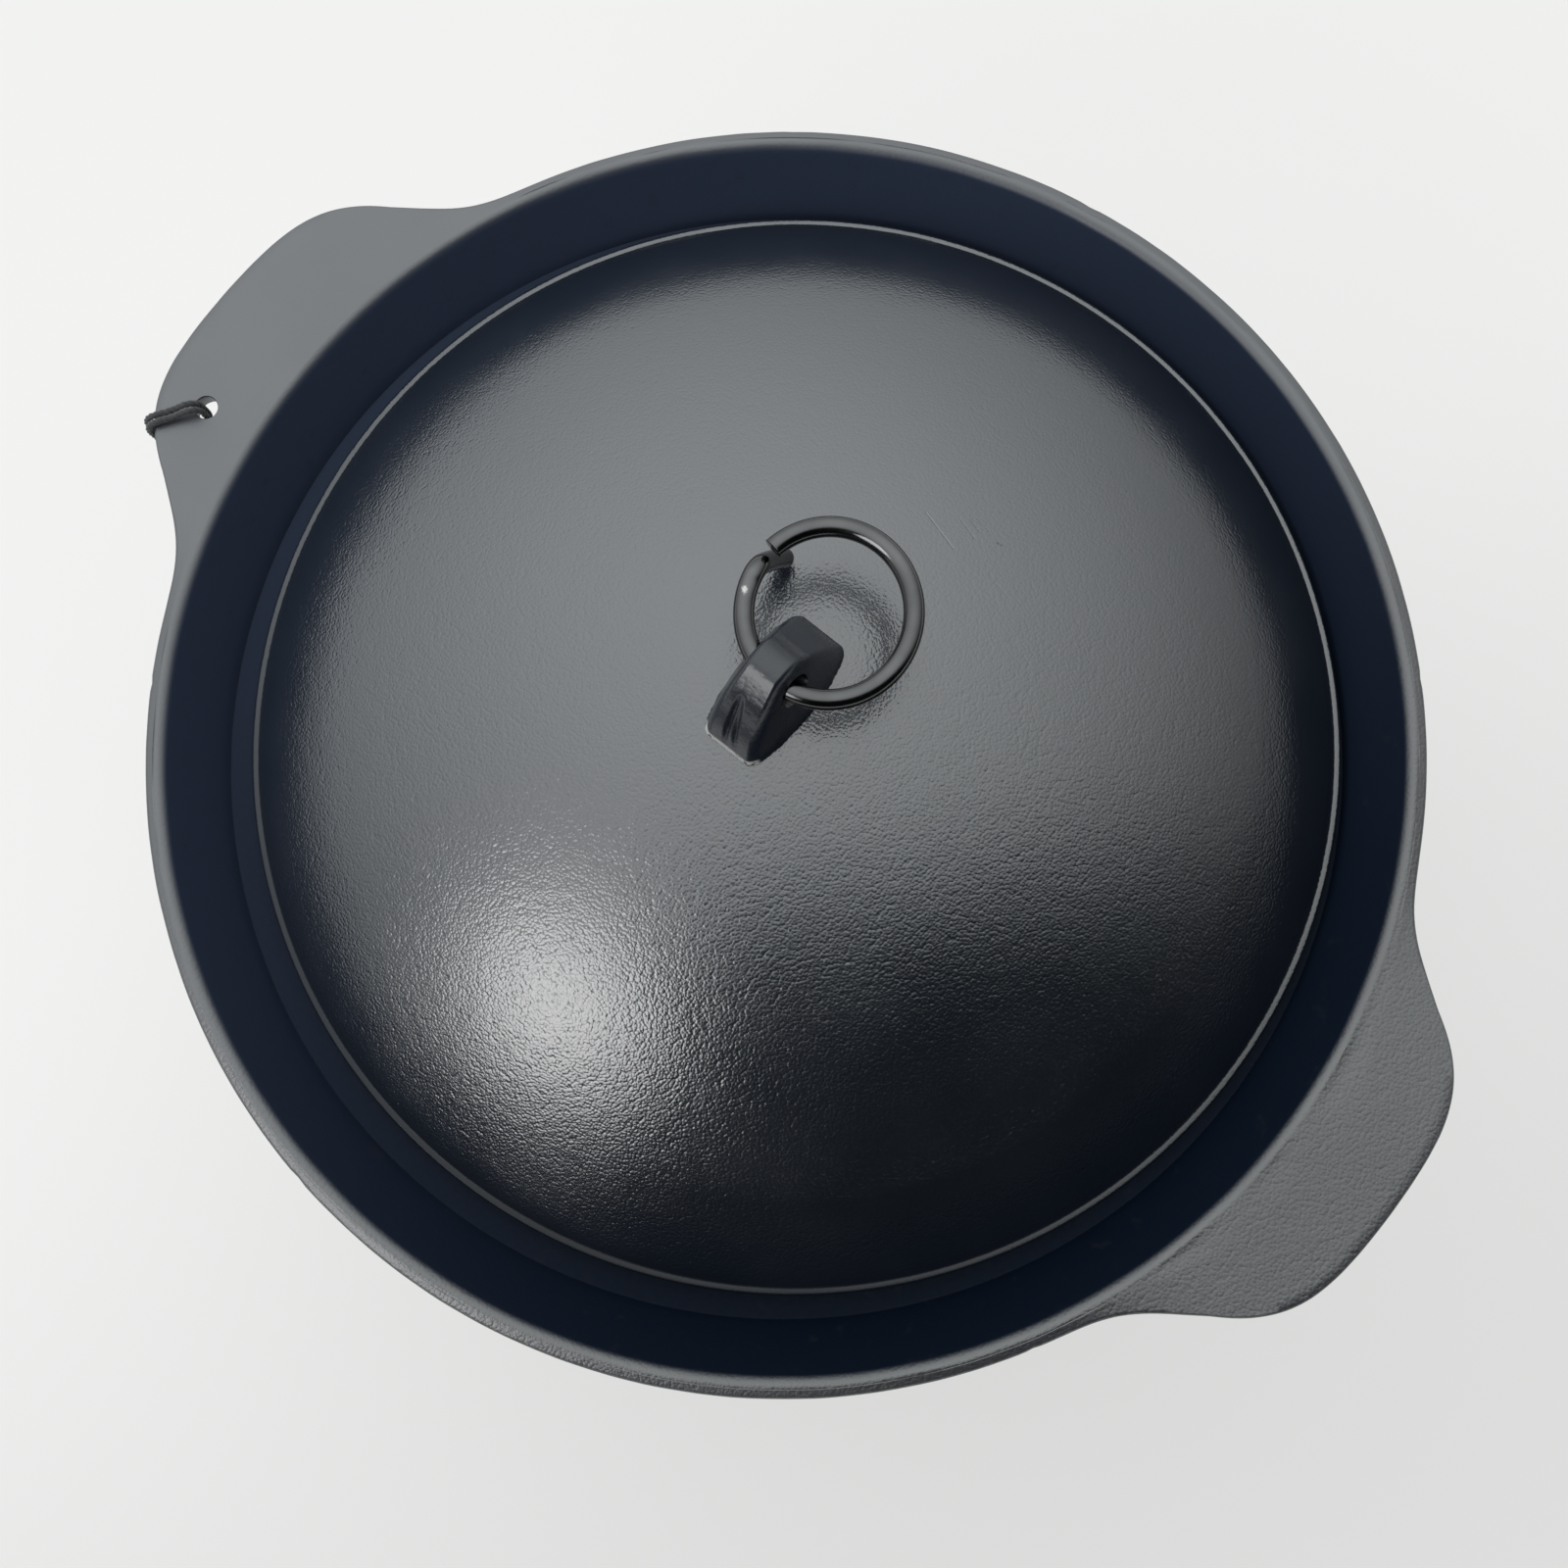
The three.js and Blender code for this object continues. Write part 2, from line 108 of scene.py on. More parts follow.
def settle(mesh, sharp):
    """Merge doubled points, drop slivers, turn the faces outward and shade all but sharp edges smooth."""
    work = bmesh.new()
    work.from_mesh(mesh)
    bmesh.ops.remove_doubles(work, verts=work.verts, dist=SAME_PLACE)
    bmesh.ops.dissolve_degenerate(work, edges=work.edges, dist=SLIVER_WIDTH)
    bmesh.ops.recalc_face_normals(work, faces=work.faces)
    work.to_mesh(mesh)
    work.free()
    mesh.shade_smooth()
    mesh.set_sharp_from_angle(angle=math.radians(sharp))


def arc(centre, radius, start, end, steps):
    """Points of an arc without its first one, angles in degrees."""
    angles = np.radians(start + (end - start) * np.arange(1, steps + 1) / steps)
    return [(centre[0] + radius * math.cos(a), centre[1] + radius * math.sin(a)) for a in angles]


def line(start, end, steps):
    """Points of a straight line without its first one."""
    shares = np.arange(1, steps + 1) / steps
    return [tuple(np.asarray(start) + (np.asarray(end) - np.asarray(start)) * share) for share in shares]


def bezier(first, second, third, fourth, steps):
    """Points of a cubic curve without its first one."""
    points = []
    for share in np.arange(1, steps + 1) / steps:
        rest = 1 - share
        weights = (rest ** 3, 3 * rest ** 2 * share, 3 * rest * share ** 2, share ** 3)
        points.append(tuple(weights @ np.array([first, second, third, fourth], dtype=float)))
    return points


def turned(name, profile, columns, sharp=38):
    """Turn a profile of (radius, height) points about Z."""
    angles = 2 * math.pi * np.arange(columns) / columns
    circle = np.stack([np.cos(angles), np.sin(angles), np.zeros(columns)], axis=1)
    return skin(name, [radius * circle + (0, 0, height) for radius, height in profile], sharp)


def carve(piece, steps, sharp=38, folded=False):
    """Join or cut other solids, which are used up. A folded piece has loops that cross each other."""
    for operation, other in steps:
        change = piece.modifiers.new(other.name, "BOOLEAN")
        change.operation = operation
        change.solver = "EXACT"
        change.use_self = folded
        change.object = other
    graph = bpy.context.evaluated_depsgraph_get()
    result = bpy.data.meshes.new_from_object(piece.evaluated_get(graph))
    piece.modifiers.clear()
    piece.data = result
    for operation, other in steps:
        bpy.data.objects.remove(other)
    settle(result, sharp)


def shift(piece, offset):
    """Move a piece's points, in millimetres, so that its object stays at the origin."""
    for vertex in piece.data.vertices:
        vertex.co += Vector(offset) * MM


def unevenness(point, size):
    """A soft random value from 0 to 1 that changes over the given size in millimetres."""
    return 0.5 + 0.5 * max(-1.0, min(1.0, 1.6 * noise.noise(Vector(point) / size)))


def hump(distance, width):
    """A soft hump: 1 in its middle, almost 0 at twice its width."""
    return np.exp(-((distance / width) ** 2))


print("mesh helpers ready")

# %% [markdown]
# A tube along a path
#
# The ring's wire and the cord's strands are tubes whose thickness changes at a few places. Blender's curve
# bevel makes an even tube quickly, but it can't dent one side or round one end. Here each loop stands
# square to the path, and a function gives the radius for every place along and around the tube.

# %% Loops along a path


def distances(path):
    """The distance from the start of a path to each of its points."""
    steps = np.linalg.norm(np.diff(path, axis=0), axis=1)
    return np.concatenate([[0], np.cumsum(steps)])


def frames_along(path, up):
    """Two unit vectors across the path at each of its points, turned as little as possible on the way."""
    tangents = np.gradient(path, axis=0)
    tangents /= np.linalg.norm(tangents, axis=1)[:, None]
    across = []
    previous = np.asarray(up, dtype=float)
    for tangent in tangents:
        previous = previous - tangent * (previous @ tangent)
        previous /= np.linalg.norm(previous)
        across.append(previous)
    across = np.array(across)
    return across, np.cross(tangents, across)


def tube_loops(path, up, sides, radius_at):
    """Loops of a tube with closed ends. radius_at takes the distance along and the angles from up."""
    first, second = frames_along(path, up)
    angles = 2 * math.pi * np.arange(sides) / sides
    loops = [np.repeat(path[:1], sides, axis=0)]
    for point, one, two, along in zip(path, first, second, distances(path)):
        radius = radius_at(along, angles)[:, None]
        loops.append(point + radius * (np.cos(angles)[:, None] * one + np.sin(angles)[:, None] * two))
    loops.append(np.repeat(path[-1:], sides, axis=0))
    return loops


def smooth_path(points, spacing):
    """A smooth curve through the points, as evenly spaced points."""
    points = np.asarray(points, dtype=float)
    padded = np.concatenate([[2 * points[0] - points[1]], points, [2 * points[-1] - points[-2]]])
    dense = []
    for before, start, end, after in zip(padded, padded[1:], padded[2:], padded[3:]):
        for share in np.linspace(0, 1, 24, endpoint=False):
            a = 2 * start
            b = end - before
            c = 2 * before - 5 * start + 4 * end - after
            d = 3 * start - before - 3 * end + after
            dense.append((a + b * share + c * share ** 2 + d * share ** 3) / 2)
    dense = np.array(dense + [points[-1]])
    distance = distances(dense)
    wanted = np.linspace(0, distance[-1], max(2, round(distance[-1] / spacing)))
    return np.stack([np.interp(wanted, distance, dense[:, axis]) for axis in range(3)], axis=1)


print("tube helpers ready")

# %% [markdown]
# Shader sums as Python
#
# A finish is a small sum of patterns: a grain here, a speck there. Node by node such a sum is hard to read,
# so one class stands for a socket, and adding or multiplying two of them adds the Math node that does it.
# Any other node comes from one method, which sets the node up first and then fills its sockets.

# %% Sockets that do arithmetic


class Flow:
    """One socket of a finish. Arithmetic adds Math nodes, and node() adds any other node."""

    def __init__(self, tree, socket=None):
        self.tree = tree
        self.socket = socket

    def node(self, kind, settings=None, sockets=None, out=0):
        node = self.tree.nodes.new(kind)
        for name, value in (settings or {}).items():
            setattr(node, name, value)
        for name, value in (sockets or {}).items():
            if isinstance(value, Flow):
                self.tree.links.new(value.socket, node.inputs[name])
            else:
                node.inputs[name].default_value = value
        return Flow(self.tree, node.outputs[out] if node.outputs else None)

    def math(self, operation, *values):
        return self.node("ShaderNodeMath", {"operation": operation}, dict(enumerate(values)))

    def __add__(self, other):
        return self.math("ADD", self, other)

    def __radd__(self, other):
        return self.math("ADD", other, self)

    def __sub__(self, other):
        return self.math("SUBTRACT", self, other)

    def __rsub__(self, other):
        return self.math("SUBTRACT", other, self)

    def __mul__(self, other):
        return self.math("MULTIPLY", self, other)

    def __rmul__(self, other):
        return self.math("MULTIPLY", other, self)

    def __lt__(self, other):
        return self.math("LESS_THAN", self, other)

    def __gt__(self, other):
        return self.math("GREATER_THAN", self, other)

    def along(self, vector):
        """How far this vector reaches along another one."""
        settings = {"operation": "DOT_PRODUCT"}
        return self.node("ShaderNodeVectorMath", settings, {0: self, 1: vector}, out="Value")

    def away_from(self, point):
        """The distance of this place from a point."""
        settings = {"operation": "DISTANCE"}
        return self.node("ShaderNodeVectorMath", settings, {0: self, 1: point}, out="Value")

    def between(self, low, high, start=0.0, end=1.0):
        """A soft step from start to end as this value goes from low to high."""
        settings = {"interpolation_type": "SMOOTHSTEP"}
        sockets = {"Value": self, "From Min": low, "From Max": high, "To Min": start, "To Max": end}
        return self.node("ShaderNodeMapRange", settings, sockets)

    def mix(self, one, other):
        """One colour where this value is 0, the other where it is 1."""
        return self.node("ShaderNodeMix", {"data_type": "RGBA"}, {0: self, 6: one, 7: other}, out=2)

    def blend(self, one, other):
        """One shader where this value is 0, the other where it is 1."""
        return self.node("ShaderNodeMixShader", None, {0: self, 1: one, 2: other})


def new_finish(name):
    """An empty finish: its material, a start for its nodes, and the place on the object in metres."""
    material = bpy.data.materials.new(name)
    material.use_nodes = True
    material.node_tree.nodes.clear()
    flow = Flow(material.node_tree)
    place = flow.node("ShaderNodeTexCoord", out="Object")
    return material, flow, place


def noise_at(flow, place, cells_per_metre, detail=2.0, roughness=0.5):
    sockets = {"Vector": place, "Scale": cells_per_metre, "Detail": detail, "Roughness": roughness}
    return flow.node("ShaderNodeTexNoise", None, sockets, out="Fac")


def show(flow, shader):
    """Close a finish: its surface shows this shader."""
    flow.node("ShaderNodeOutputMaterial", None, {"Surface": shader})


print("shader helpers ready")

# %% [markdown]
# Light and table
#
# The lid works as a mirror of the room: a pale ceiling that gets brighter towards the top of the picture,
# a dark side at the bottom, where the light is blocked, and one soft lamp low on the left, which makes the
# bright spot. A ring of lamps could copy that, but a sky with a plain slope that is cut off on one side,
# plus one round lamp, needs fewer parts and gives less noise.

# %% Sky and lamp
SKY_BASE = 0.27
SKY_OVERHEAD = 1.26
SKY_ASIDE = 0.6
BRIGHT_SIDE = 112
SKY_TINT = (0.965, 1, 1.005, 1)
DARK_SIDE = -78
DARK_LEVEL = 0.015
DARK_EDGE = (0.2, 0.6)
LAMP_DIRECTION = (-135, 58)
LAMP_AIM_HEIGHT = 0.12
LAMP_DISTANCE = 1.2
LAMP_RADIUS = 0.34
LAMP_LEVEL = 4.0
BACKDROP = (0.86, 0.86, 0.85, 1)


def towards(azimuth, tilt):
    """A direction: its azimuth in the picture, from the right towards the top, and its tilt from upright."""
    azimuth = math.radians(azimuth + PICTURE_TURN)
    tilt = math.radians(tilt)
    return Vector((math.sin(tilt) * math.cos(azimuth), math.sin(tilt) * math.sin(azimuth), math.cos(tilt)))


world = bpy.data.worlds.new("soft_room")
world.use_nodes = True
world.node_tree.nodes.clear()
bpy.context.scene.world = world
sky = Flow(world.node_tree)
direction = sky.node("ShaderNodeTexCoord", out="Generated")
slope = SKY_ASIDE * towards(BRIGHT_SIDE, 90) + SKY_OVERHEAD * towards(0, 0)
ceiling = SKY_BASE + direction.along(slope)
open_side = direction.along(towards(DARK_SIDE, 90)).between(*DARK_EDGE, 1, 0)
level = sky.math("MAXIMUM", ceiling * open_side, DARK_LEVEL)
room = sky.node("ShaderNodeBackground", None, {"Color": SKY_TINT, "Strength": level})
backdrop = sky.node("ShaderNodeBackground", None, {"Color": BACKDROP, "Strength": 1.0})
seen = sky.node("ShaderNodeLightPath", out="Is Camera Ray")
sky.node("ShaderNodeOutputWorld", None, {"Surface": seen.blend(room, backdrop)})

lamp_direction = towards(*LAMP_DIRECTION)
lamp_data = bpy.data.lights.new("soft_lamp", "AREA")
lamp_data.shape = "DISK"
lamp_data.size = 2 * LAMP_RADIUS
lamp_data.energy = LAMP_LEVEL * math.pi * math.pi * LAMP_RADIUS ** 2
lamp = bpy.data.objects.new("soft_lamp", lamp_data)
lamp.location = Vector((0, 0, LAMP_AIM_HEIGHT)) + LAMP_DISTANCE * lamp_direction
lamp.rotation_euler = lamp_direction.to_track_quat("Z", "Y").to_euler()
bpy.context.collection.objects.link(lamp)
print("lamp at", [round(value, 3) for value in lamp.location])

# %% [markdown]
# The table
#
# The table is a pale plane. In the photograph it is almost white, falls off a little towards the lower right
# and has hardly any shadow, because the light comes from everywhere. A matt plane alone gets too dark beside
# the pot, so the camera and mirrors see it partly at a level of its own, which carries painted shade towards
# the lower right, and the rest is matt and keeps the pot's soft shadow.

# %% Table
TABLE_EVEN_SHARE = 0.7
TABLE_HALF = 3
TABLE_MATT = ((0.79, 0.79, 0.78, 1), (0.81, 0.81, 0.8, 1))
TABLE_BRIGHT = (0.9, 0.9, 0.885, 1)
TABLE_PAINTED_SHADE = (0.69, 0.69, 0.68, 1)
PAINTED_SHADE_SIDE = (-68, 90)
PAINTED_SHADE_RANGE = (-0.06, 0.22)

table_finish, flow, place = new_finish("pale_table")
cloud = noise_at(flow, place, 3.0)
matt = flow.node("ShaderNodeBsdfDiffuse", None, {"Color": cloud.mix(*TABLE_MATT)})
# Painted shade: the table's own level darkens towards the lower right.
painted_shade_share = place.along(towards(*PAINTED_SHADE_SIDE)).between(*PAINTED_SHADE_RANGE)
colour_with_painted_shade = painted_shade_share.mix(TABLE_BRIGHT, TABLE_PAINTED_SHADE)
even = flow.node("ShaderNodeEmission", None, {"Color": colour_with_painted_shade, "Strength": 1.0})
straight = flow.node("ShaderNodeLightPath", out="Is Camera Ray")
for mirrored in ("Is Glossy Ray", "Is Transmission Ray"):
    straight = flow.math("MAXIMUM", straight, flow.node("ShaderNodeLightPath", out=mirrored))
show(flow, (TABLE_EVEN_SHARE * straight).blend(matt, even))

corners = [(x * TABLE_HALF, y * TABLE_HALF, 0) for x, y in ((-1, -1), (1, -1), (1, 1), (-1, 1))]
table_mesh = bpy.data.meshes.new("table")
table_mesh.from_pydata(corners, [], [(0, 1, 2, 3)])
table_mesh.materials.append(table_finish)
table = bpy.data.objects.new("table", table_mesh)
bpy.context.collection.objects.link(table)
print("table", 2 * TABLE_HALF, "m wide")

# %% [markdown]
# The lacquer
#
# The castings have a satin blue-black coat over a fine pebbled skin, like orange peel with a grain of about
# half a millimetre. Real bumps that small would need millions of faces, so a Bump node draws them: rounded
# cells for the pebbles, a finer noise for the sand and a slow swell. The pebbles spread the mirrored light,
# so the coat itself can be glossy, which keeps the dark side dark. A few pale specks of grit lie on it.

# %% Lacquer finish
PAINTED_LIGHT_SIDE = (122, 90)
PAINTED_LIGHT_RANGE = (-0.09, 0.09)
COAT_DARK = (0.0030, 0.0047, 0.0083, 1)
COAT_LIGHT = (0.0042, 0.0064, 0.0108, 1)
COAT_PAINTED_LIGHT = (0.011, 0.0155, 0.025, 1)
PALE_MARK_AND_HIGHLIGHT = (0.42, 0.42, 0.41, 1)
PEBBLE_SHARE = 0.6
SAND_SHARE = 0.25
SWELL_SHARE = 0.5
MARK_DEPTH_SHARE = 0.8
WANDER_REACH = 0.6
# Cells per grain
WANDER_CELLS = 0.4
SAND_CELLS = 1.9
SWELL_CELLS = 0.16
# Cells per metre
PATCH_CELLS = 45.0
GRIT_CELLS = 95.0
GRIT_SIZE = 0.03
GRIT_LEVEL = 0.5
GRAINY_SIDE = (-75, 90)


def lacquer_coat(
    flow, place, grain_mm, depth_mm, gloss, index=2.2, dust=0.02, smooth=None, marks=None, wear_and_highlight_level=0.1,
):
    """A black coat: its grain, roughness, reflection and specks, its smooth side, its worn marks and painted
    highlights, and painted light on one side.
    """
    grain = grain_mm * MM
    wander = noise_at(flow, place, WANDER_CELLS / grain, 1.0)
    bent = flow.node("ShaderNodeVectorMath", {"operation": "MULTIPLY_ADD"}, {
        0: flow.node("ShaderNodeCombineXYZ", None, {"X": wander, "Y": wander, "Z": wander}),
        1: (WANDER_REACH * grain,) * 3,
        2: place,
    })
    pebbles = flow.node("ShaderNodeTexVoronoi", {"feature": "SMOOTH_F1"}, {
        "Vector": bent, "Scale": 1 / grain, "Smoothness": 0.25,
    }, out="Distance")
    sand = noise_at(flow, place, SAND_CELLS / grain, 2.0)
    swell = noise_at(flow, place, SWELL_CELLS / grain, 1.0)
    height = PEBBLE_SHARE * (1 - pebbles * pebbles) + SAND_SHARE * sand + SWELL_SHARE * swell
    patches = noise_at(flow, place, PATCH_CELLS, 3.0)
    cells = {"Vector": place, "Scale": GRIT_CELLS}
    grit = flow.node("ShaderNodeTexVoronoi", None, cells, out="Distance")
    chance = flow.node("ShaderNodeTexVoronoi", None, cells, out="Color")
    lucky = flow.node("ShaderNodeSeparateColor", None, {"Color": chance}, out="Red")
    pale = GRIT_LEVEL * (grit < GRIT_SIZE) * (lucky > 1 - dust)
    if smooth:
        height = height * smooth(place)
    # The marks are real wear on the lid and a painted highlight on the lug's foot.
    if marks:
        wear_and_highlight = marks(flow, place)
        height = height - MARK_DEPTH_SHARE * wear_and_highlight
        pale = flow.math("MAXIMUM", pale, wear_and_highlight_level * wear_and_highlight)
    tint = patches.mix(COAT_DARK, COAT_LIGHT)
    # Painted light: the coat's colour is paler towards the upper left of the picture.
    tint_with_painted_light = place.along(towards(*PAINTED_LIGHT_SIDE)).between(*PAINTED_LIGHT_RANGE).mix(tint, COAT_PAINTED_LIGHT)
    bump = flow.node("ShaderNodeBump", None, {
        "Strength": 1.0, "Distance": depth_mm * MM, "Height": height,
    }, out="Normal")
    return flow.node("ShaderNodeBsdfPrincipled", None, {
        "Base Color": pale.mix(tint_with_painted_light, PALE_MARK_AND_HIGHLIGHT),
        "Roughness": patches.between(0.3, 0.7, gloss - 0.02, gloss + 0.03) + 0.25 * pale,
        "IOR": index,
        "Normal": bump,
    })


def handle_grain(place):
    """The grain of the pot is stronger on the side that points to the bottom of the picture."""
    return place.along(towards(*GRAINY_SIDE)).between(-0.06, 0.08, 0.25, 1)


POT_COAT = {"grain_mm": 0.6, "depth_mm": 0.11, "gloss": 0.44, "smooth": handle_grain}
print("lacquer ready, grain of the pot", POT_COAT["grain_mm"], "mm")

# %% [markdown]
# The cord
#
# The cord is hitched through the hole: its bight lies under the handle, both halves go up through the hole,
# over the top and round the edge, pass through the bight and hang beside each other to a knot. Each half is
# three twisted strands, because a plain tube with a bump would lose its lumpy outline against the table. A
# cord simulation would lay it much the same way, but the hitch is held everywhere, so a drawn route does.

# %% Cord route, the same points as in the solid model
CORD_DIAMETER = 1.25
CORD_SPACING = 0.3
STRANDS = 3
STRAND_SIDES = 8
STRAND_RADIUS = 0.29 * CORD_DIAMETER
STRAND_UP = (0.1, 0.3, 0.95)
TWIST_UP = (0.3, 0.2, 0.93)
TWIST_LENGTH = 3.4
CORD_DARK = (0.01, 0.011, 0.013, 1)
CORD_LIGHT = (0.05, 0.052, 0.056, 1)
CORD_HEADING = math.radians(234.2)
CORD_HOLE = (-122.277, -18.711, 108.0)
CORD_ROUTE = [
    (13.9, 0.15, -12.15), (13.85, 0.8, -12.1), (12.9, 1.8, -11.8), (11.0, 2.2, -11.0), (8.6, 1.95, -9.6),
    (6.0, 1.4, -8.3), (3.7, 0.95, -7.5), (1.9, 0.75, -6.5), (1.15, 0.69, -4.7), (0.98, 0.69, -3.0),
    (0.95, 0.68, -0.9), (1.02, 0.68, 0.45), (1.85, 0.69, 1.55), (3.5, 0.69, 1.85), (5.2, 0.69, 1.4),
    (7.0, 0.69, 1.1), (8.8, 0.69, 1.1), (10.5, 0.7, 0.6), (11.5, 0.7, -0.7), (11.85, 0.7, -2.5),
    (11.85, 0.7, -6), (11.85, 0.7, -13), (11.85, 0.72, -25), (11.85, 0.75, -45), (11.85, 0.72, -62),
    (11.85, 0.69, -78),
]


def from_hole(points):
    """Points that are measured along the cord's heading from the hole, in the pot's frame."""
    points = np.asarray(points, dtype=float)
    cosine, sine = math.cos(CORD_HEADING), math.sin(CORD_HEADING)
    x = CORD_HOLE[0] + points[:, 0] * cosine - points[:, 1] * sine
    y = CORD_HOLE[1] + points[:, 0] * sine + points[:, 1] * cosine
    return np.stack([x, y, CORD_HOLE[2] + points[:, 2]], axis=1)


def strand_radius(along, turns):
    return np.full(len(turns), STRAND_RADIUS)


def twisted(path):
    """Loops of each strand of a twisted cord along a path."""
    first, second = frames_along(path, TWIST_UP)
    distance = distances(path)
    offset = CORD_DIAMETER / 2 - STRAND_RADIUS
    stacks = []
    for strand in range(STRANDS):
        angle = 2 * math.pi * (distance / TWIST_LENGTH + strand / STRANDS)
        strand_path = path + offset * (np.cos(angle)[:, None] * first + np.sin(angle)[:, None] * second)
        stacks.append(tube_loops(strand_path, STRAND_UP, STRAND_SIDES, strand_radius))
    return stacks


def cord_piece(name, paths):
    """One mesh of all the strands along the given paths."""
    strands = []
    for path in paths:
        for number, loops in enumerate(twisted(path)):
            strands.append(skin(f"{name}_{number}", loops, 180))
    with bpy.context.temp_override(active_object=strands[0], selected_editable_objects=strands):
        bpy.ops.object.join()
    strands[0].name = name
    return strands[0]


cord_finish, flow, place = new_finish("black_cord")
fibres = noise_at(flow, place, 5200.0, 3.0, 0.7)
fuzz = noise_at(flow, place, 900.0)
cord_bump = {"Strength": 0.6, "Distance": 0.1 * MM, "Height": fibres}
show(flow, flow.node("ShaderNodeBsdfPrincipled", None, {
    "Base Color": fibres.mix(CORD_DARK, CORD_LIGHT),
    "Roughness": fuzz.between(0.3, 0.7, 0.62, 0.85),
    "Sheen Weight": 0.3,
    "Normal": flow.node("ShaderNodeBump", None, cord_bump, out="Normal"),
}))

for side, node in ((1, "cord_left"), (-1, "cord_right")):
    route = [(along, side * aside, up) for along, aside, up in CORD_ROUTE]
    path = smooth_path(from_hole(route), CORD_SPACING)
    half = cord_piece("twisted_" + node, [path])
    half.data.materials.append(cord_finish)
    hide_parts(node)
    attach(half, "pot")
    length = float(distances(path)[-1])
    print(half.name, f"{length:.1f} mm long")

# %% [markdown]
# The knot
#
# Both ends are tied together: the tails come out below the knot, and one turn after another of cord is
# drawn tight around them. A ball would be enough from far away, but the turns show from the side. The turns
# are a short rising coil around the two straight tails, made of the same twisted strands.

# %% Tie the knot
KNOT_ALONG = CORD_ROUTE[-1][0]
KNOT_TOP = CORD_ROUTE[-1][2] - 0.3
KNOT_COIL_START = 0.8
KNOT_TURNS = 2.6
KNOT_COIL_RADIUS = 1.6
KNOT_PITCH = 1.55
KNOT_TAIL_END = KNOT_TOP - 14.1

coil = []
for share in np.linspace(0, 1, 60):
    angle = 2 * math.pi * KNOT_TURNS * share
    drop = KNOT_COIL_START + KNOT_PITCH * KNOT_TURNS * share
    radius = KNOT_COIL_RADIUS * min(1.0, 0.25 + 6 * share, 0.25 + 6 * (1 - share))
    coil.append((KNOT_ALONG + radius * math.cos(angle), radius * math.sin(angle), KNOT_TOP - drop))
knot_paths = [smooth_path(from_hole(coil), CORD_SPACING)]
for side in (-1, 1):
    tail = []
    for aside, up in ((0.7, KNOT_TOP), (0.7, KNOT_TOP - 5), (1.1, KNOT_TOP - 9), (1.5, KNOT_TAIL_END)):
        tail.append((KNOT_ALONG, aside * side, up))
    knot_paths.append(smooth_path(from_hole(tail), CORD_SPACING))
knot = cord_piece("tied_knot", knot_paths)
knot.data.materials.append(cord_finish)
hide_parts("cord_knot")
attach(knot, "pot")

print("knot of", len(knot_paths), "runs of cord")

# %% [markdown]
# The pot
#
# Bowl, ledge, collar, rim and both handles are one casting. Its profile is turned about the middle, and the
# rows that belong to the edge are pulled outward where a handle is. Pulling the rows keeps the rim and the
# handles in one smooth skin, where two added plates would leave a seam that the real pot hasn't. The rim
# wavers by a fraction of a millimetre, as a casting that was ground by hand does.

# %% Profile of the pot
POT_INSIDE = 97
POT_WALL = 4.5
POT_CORNER = 45
SEAT_HEIGHT = 93
SEAT_RADIUS = 105
RIM_HEIGHT = 108
RIM_INSIDE = 112.2
RIM_RADIUS = 115.7
RIM_EDGE = 3.6
EDGE_ROUND = 1.2
RIM_CROWN = 0.3
EDGE_TURN = 66
INSIDE_ROUND = 2.5
SEAT_COVE = 1.2
SEAT_EDGE = 0.5
UNDERSIDE_ROWS = 10
TOP_ROWS = 12
HANDLE_REACH = 19.2
HANDLE_WIDTH = 67.4
HANDLE_HALF_ANGLE = HANDLE_WIDTH / 2 / (RIM_RADIUS + HANDLE_REACH / 2)
HANDLE_SHOULDER = 4.65
HANDLE_FOOT = 3.9
HANDLE_ROOT = 7
COLLAR_FAIRING = 16

flare = np.array([RIM_INSIDE - SEAT_RADIUS, RIM_HEIGHT - SEAT_HEIGHT], dtype=float)
flare /= np.linalg.norm(flare)
root_height = RIM_HEIGHT - HANDLE_ROOT
root_radius = SEAT_RADIUS + (root_height - SEAT_HEIGHT) * flare[0] / flare[1] + POT_WALL / flare[1]
base_radius = POT_INSIDE - POT_CORNER
outside = POT_INSIDE + POT_WALL
edge_radius = RIM_RADIUS - EDGE_ROUND

below = [(0, 0), *line((0, 0), (base_radius, 0), 6)]
below += arc((base_radius, POT_CORNER + POT_WALL), POT_CORNER + POT_WALL, -90, 0, 26)
fairing_start = (outside, SEAT_HEIGHT - COLLAR_FAIRING)
below += line(below[-1], fairing_start, 6)
below += bezier(
    fairing_start,
    (outside, SEAT_HEIGHT - COLLAR_FAIRING / 2),
    tuple(np.array([root_radius, root_height]) - flare * COLLAR_FAIRING / 2),
    (root_radius, root_height),
    16,
)
underside = line((root_radius, root_height), (edge_radius, RIM_HEIGHT - RIM_EDGE), UNDERSIDE_ROWS)
edge = arc((edge_radius, RIM_HEIGHT - RIM_EDGE + EDGE_ROUND), EDGE_ROUND, -90, 0, 5)
edge += line((RIM_RADIUS, RIM_HEIGHT - RIM_EDGE + EDGE_ROUND), (RIM_RADIUS, RIM_HEIGHT - EDGE_ROUND), 2)
edge += arc((edge_radius, RIM_HEIGHT - EDGE_ROUND), EDGE_ROUND, 0, EDGE_TURN, 5)
collar_lean = 90 + math.degrees(math.atan2(flare[1], flare[0]))
inside_centre_shift = INSIDE_ROUND * math.tan(math.radians(collar_lean - 90) / 2)
inside_centre = (RIM_INSIDE + inside_centre_shift, RIM_HEIGHT - INSIDE_ROUND)
top = line(edge[-1], (inside_centre[0], RIM_HEIGHT), TOP_ROWS)
within = arc(inside_centre, INSIDE_ROUND, 90, collar_lean, 9)
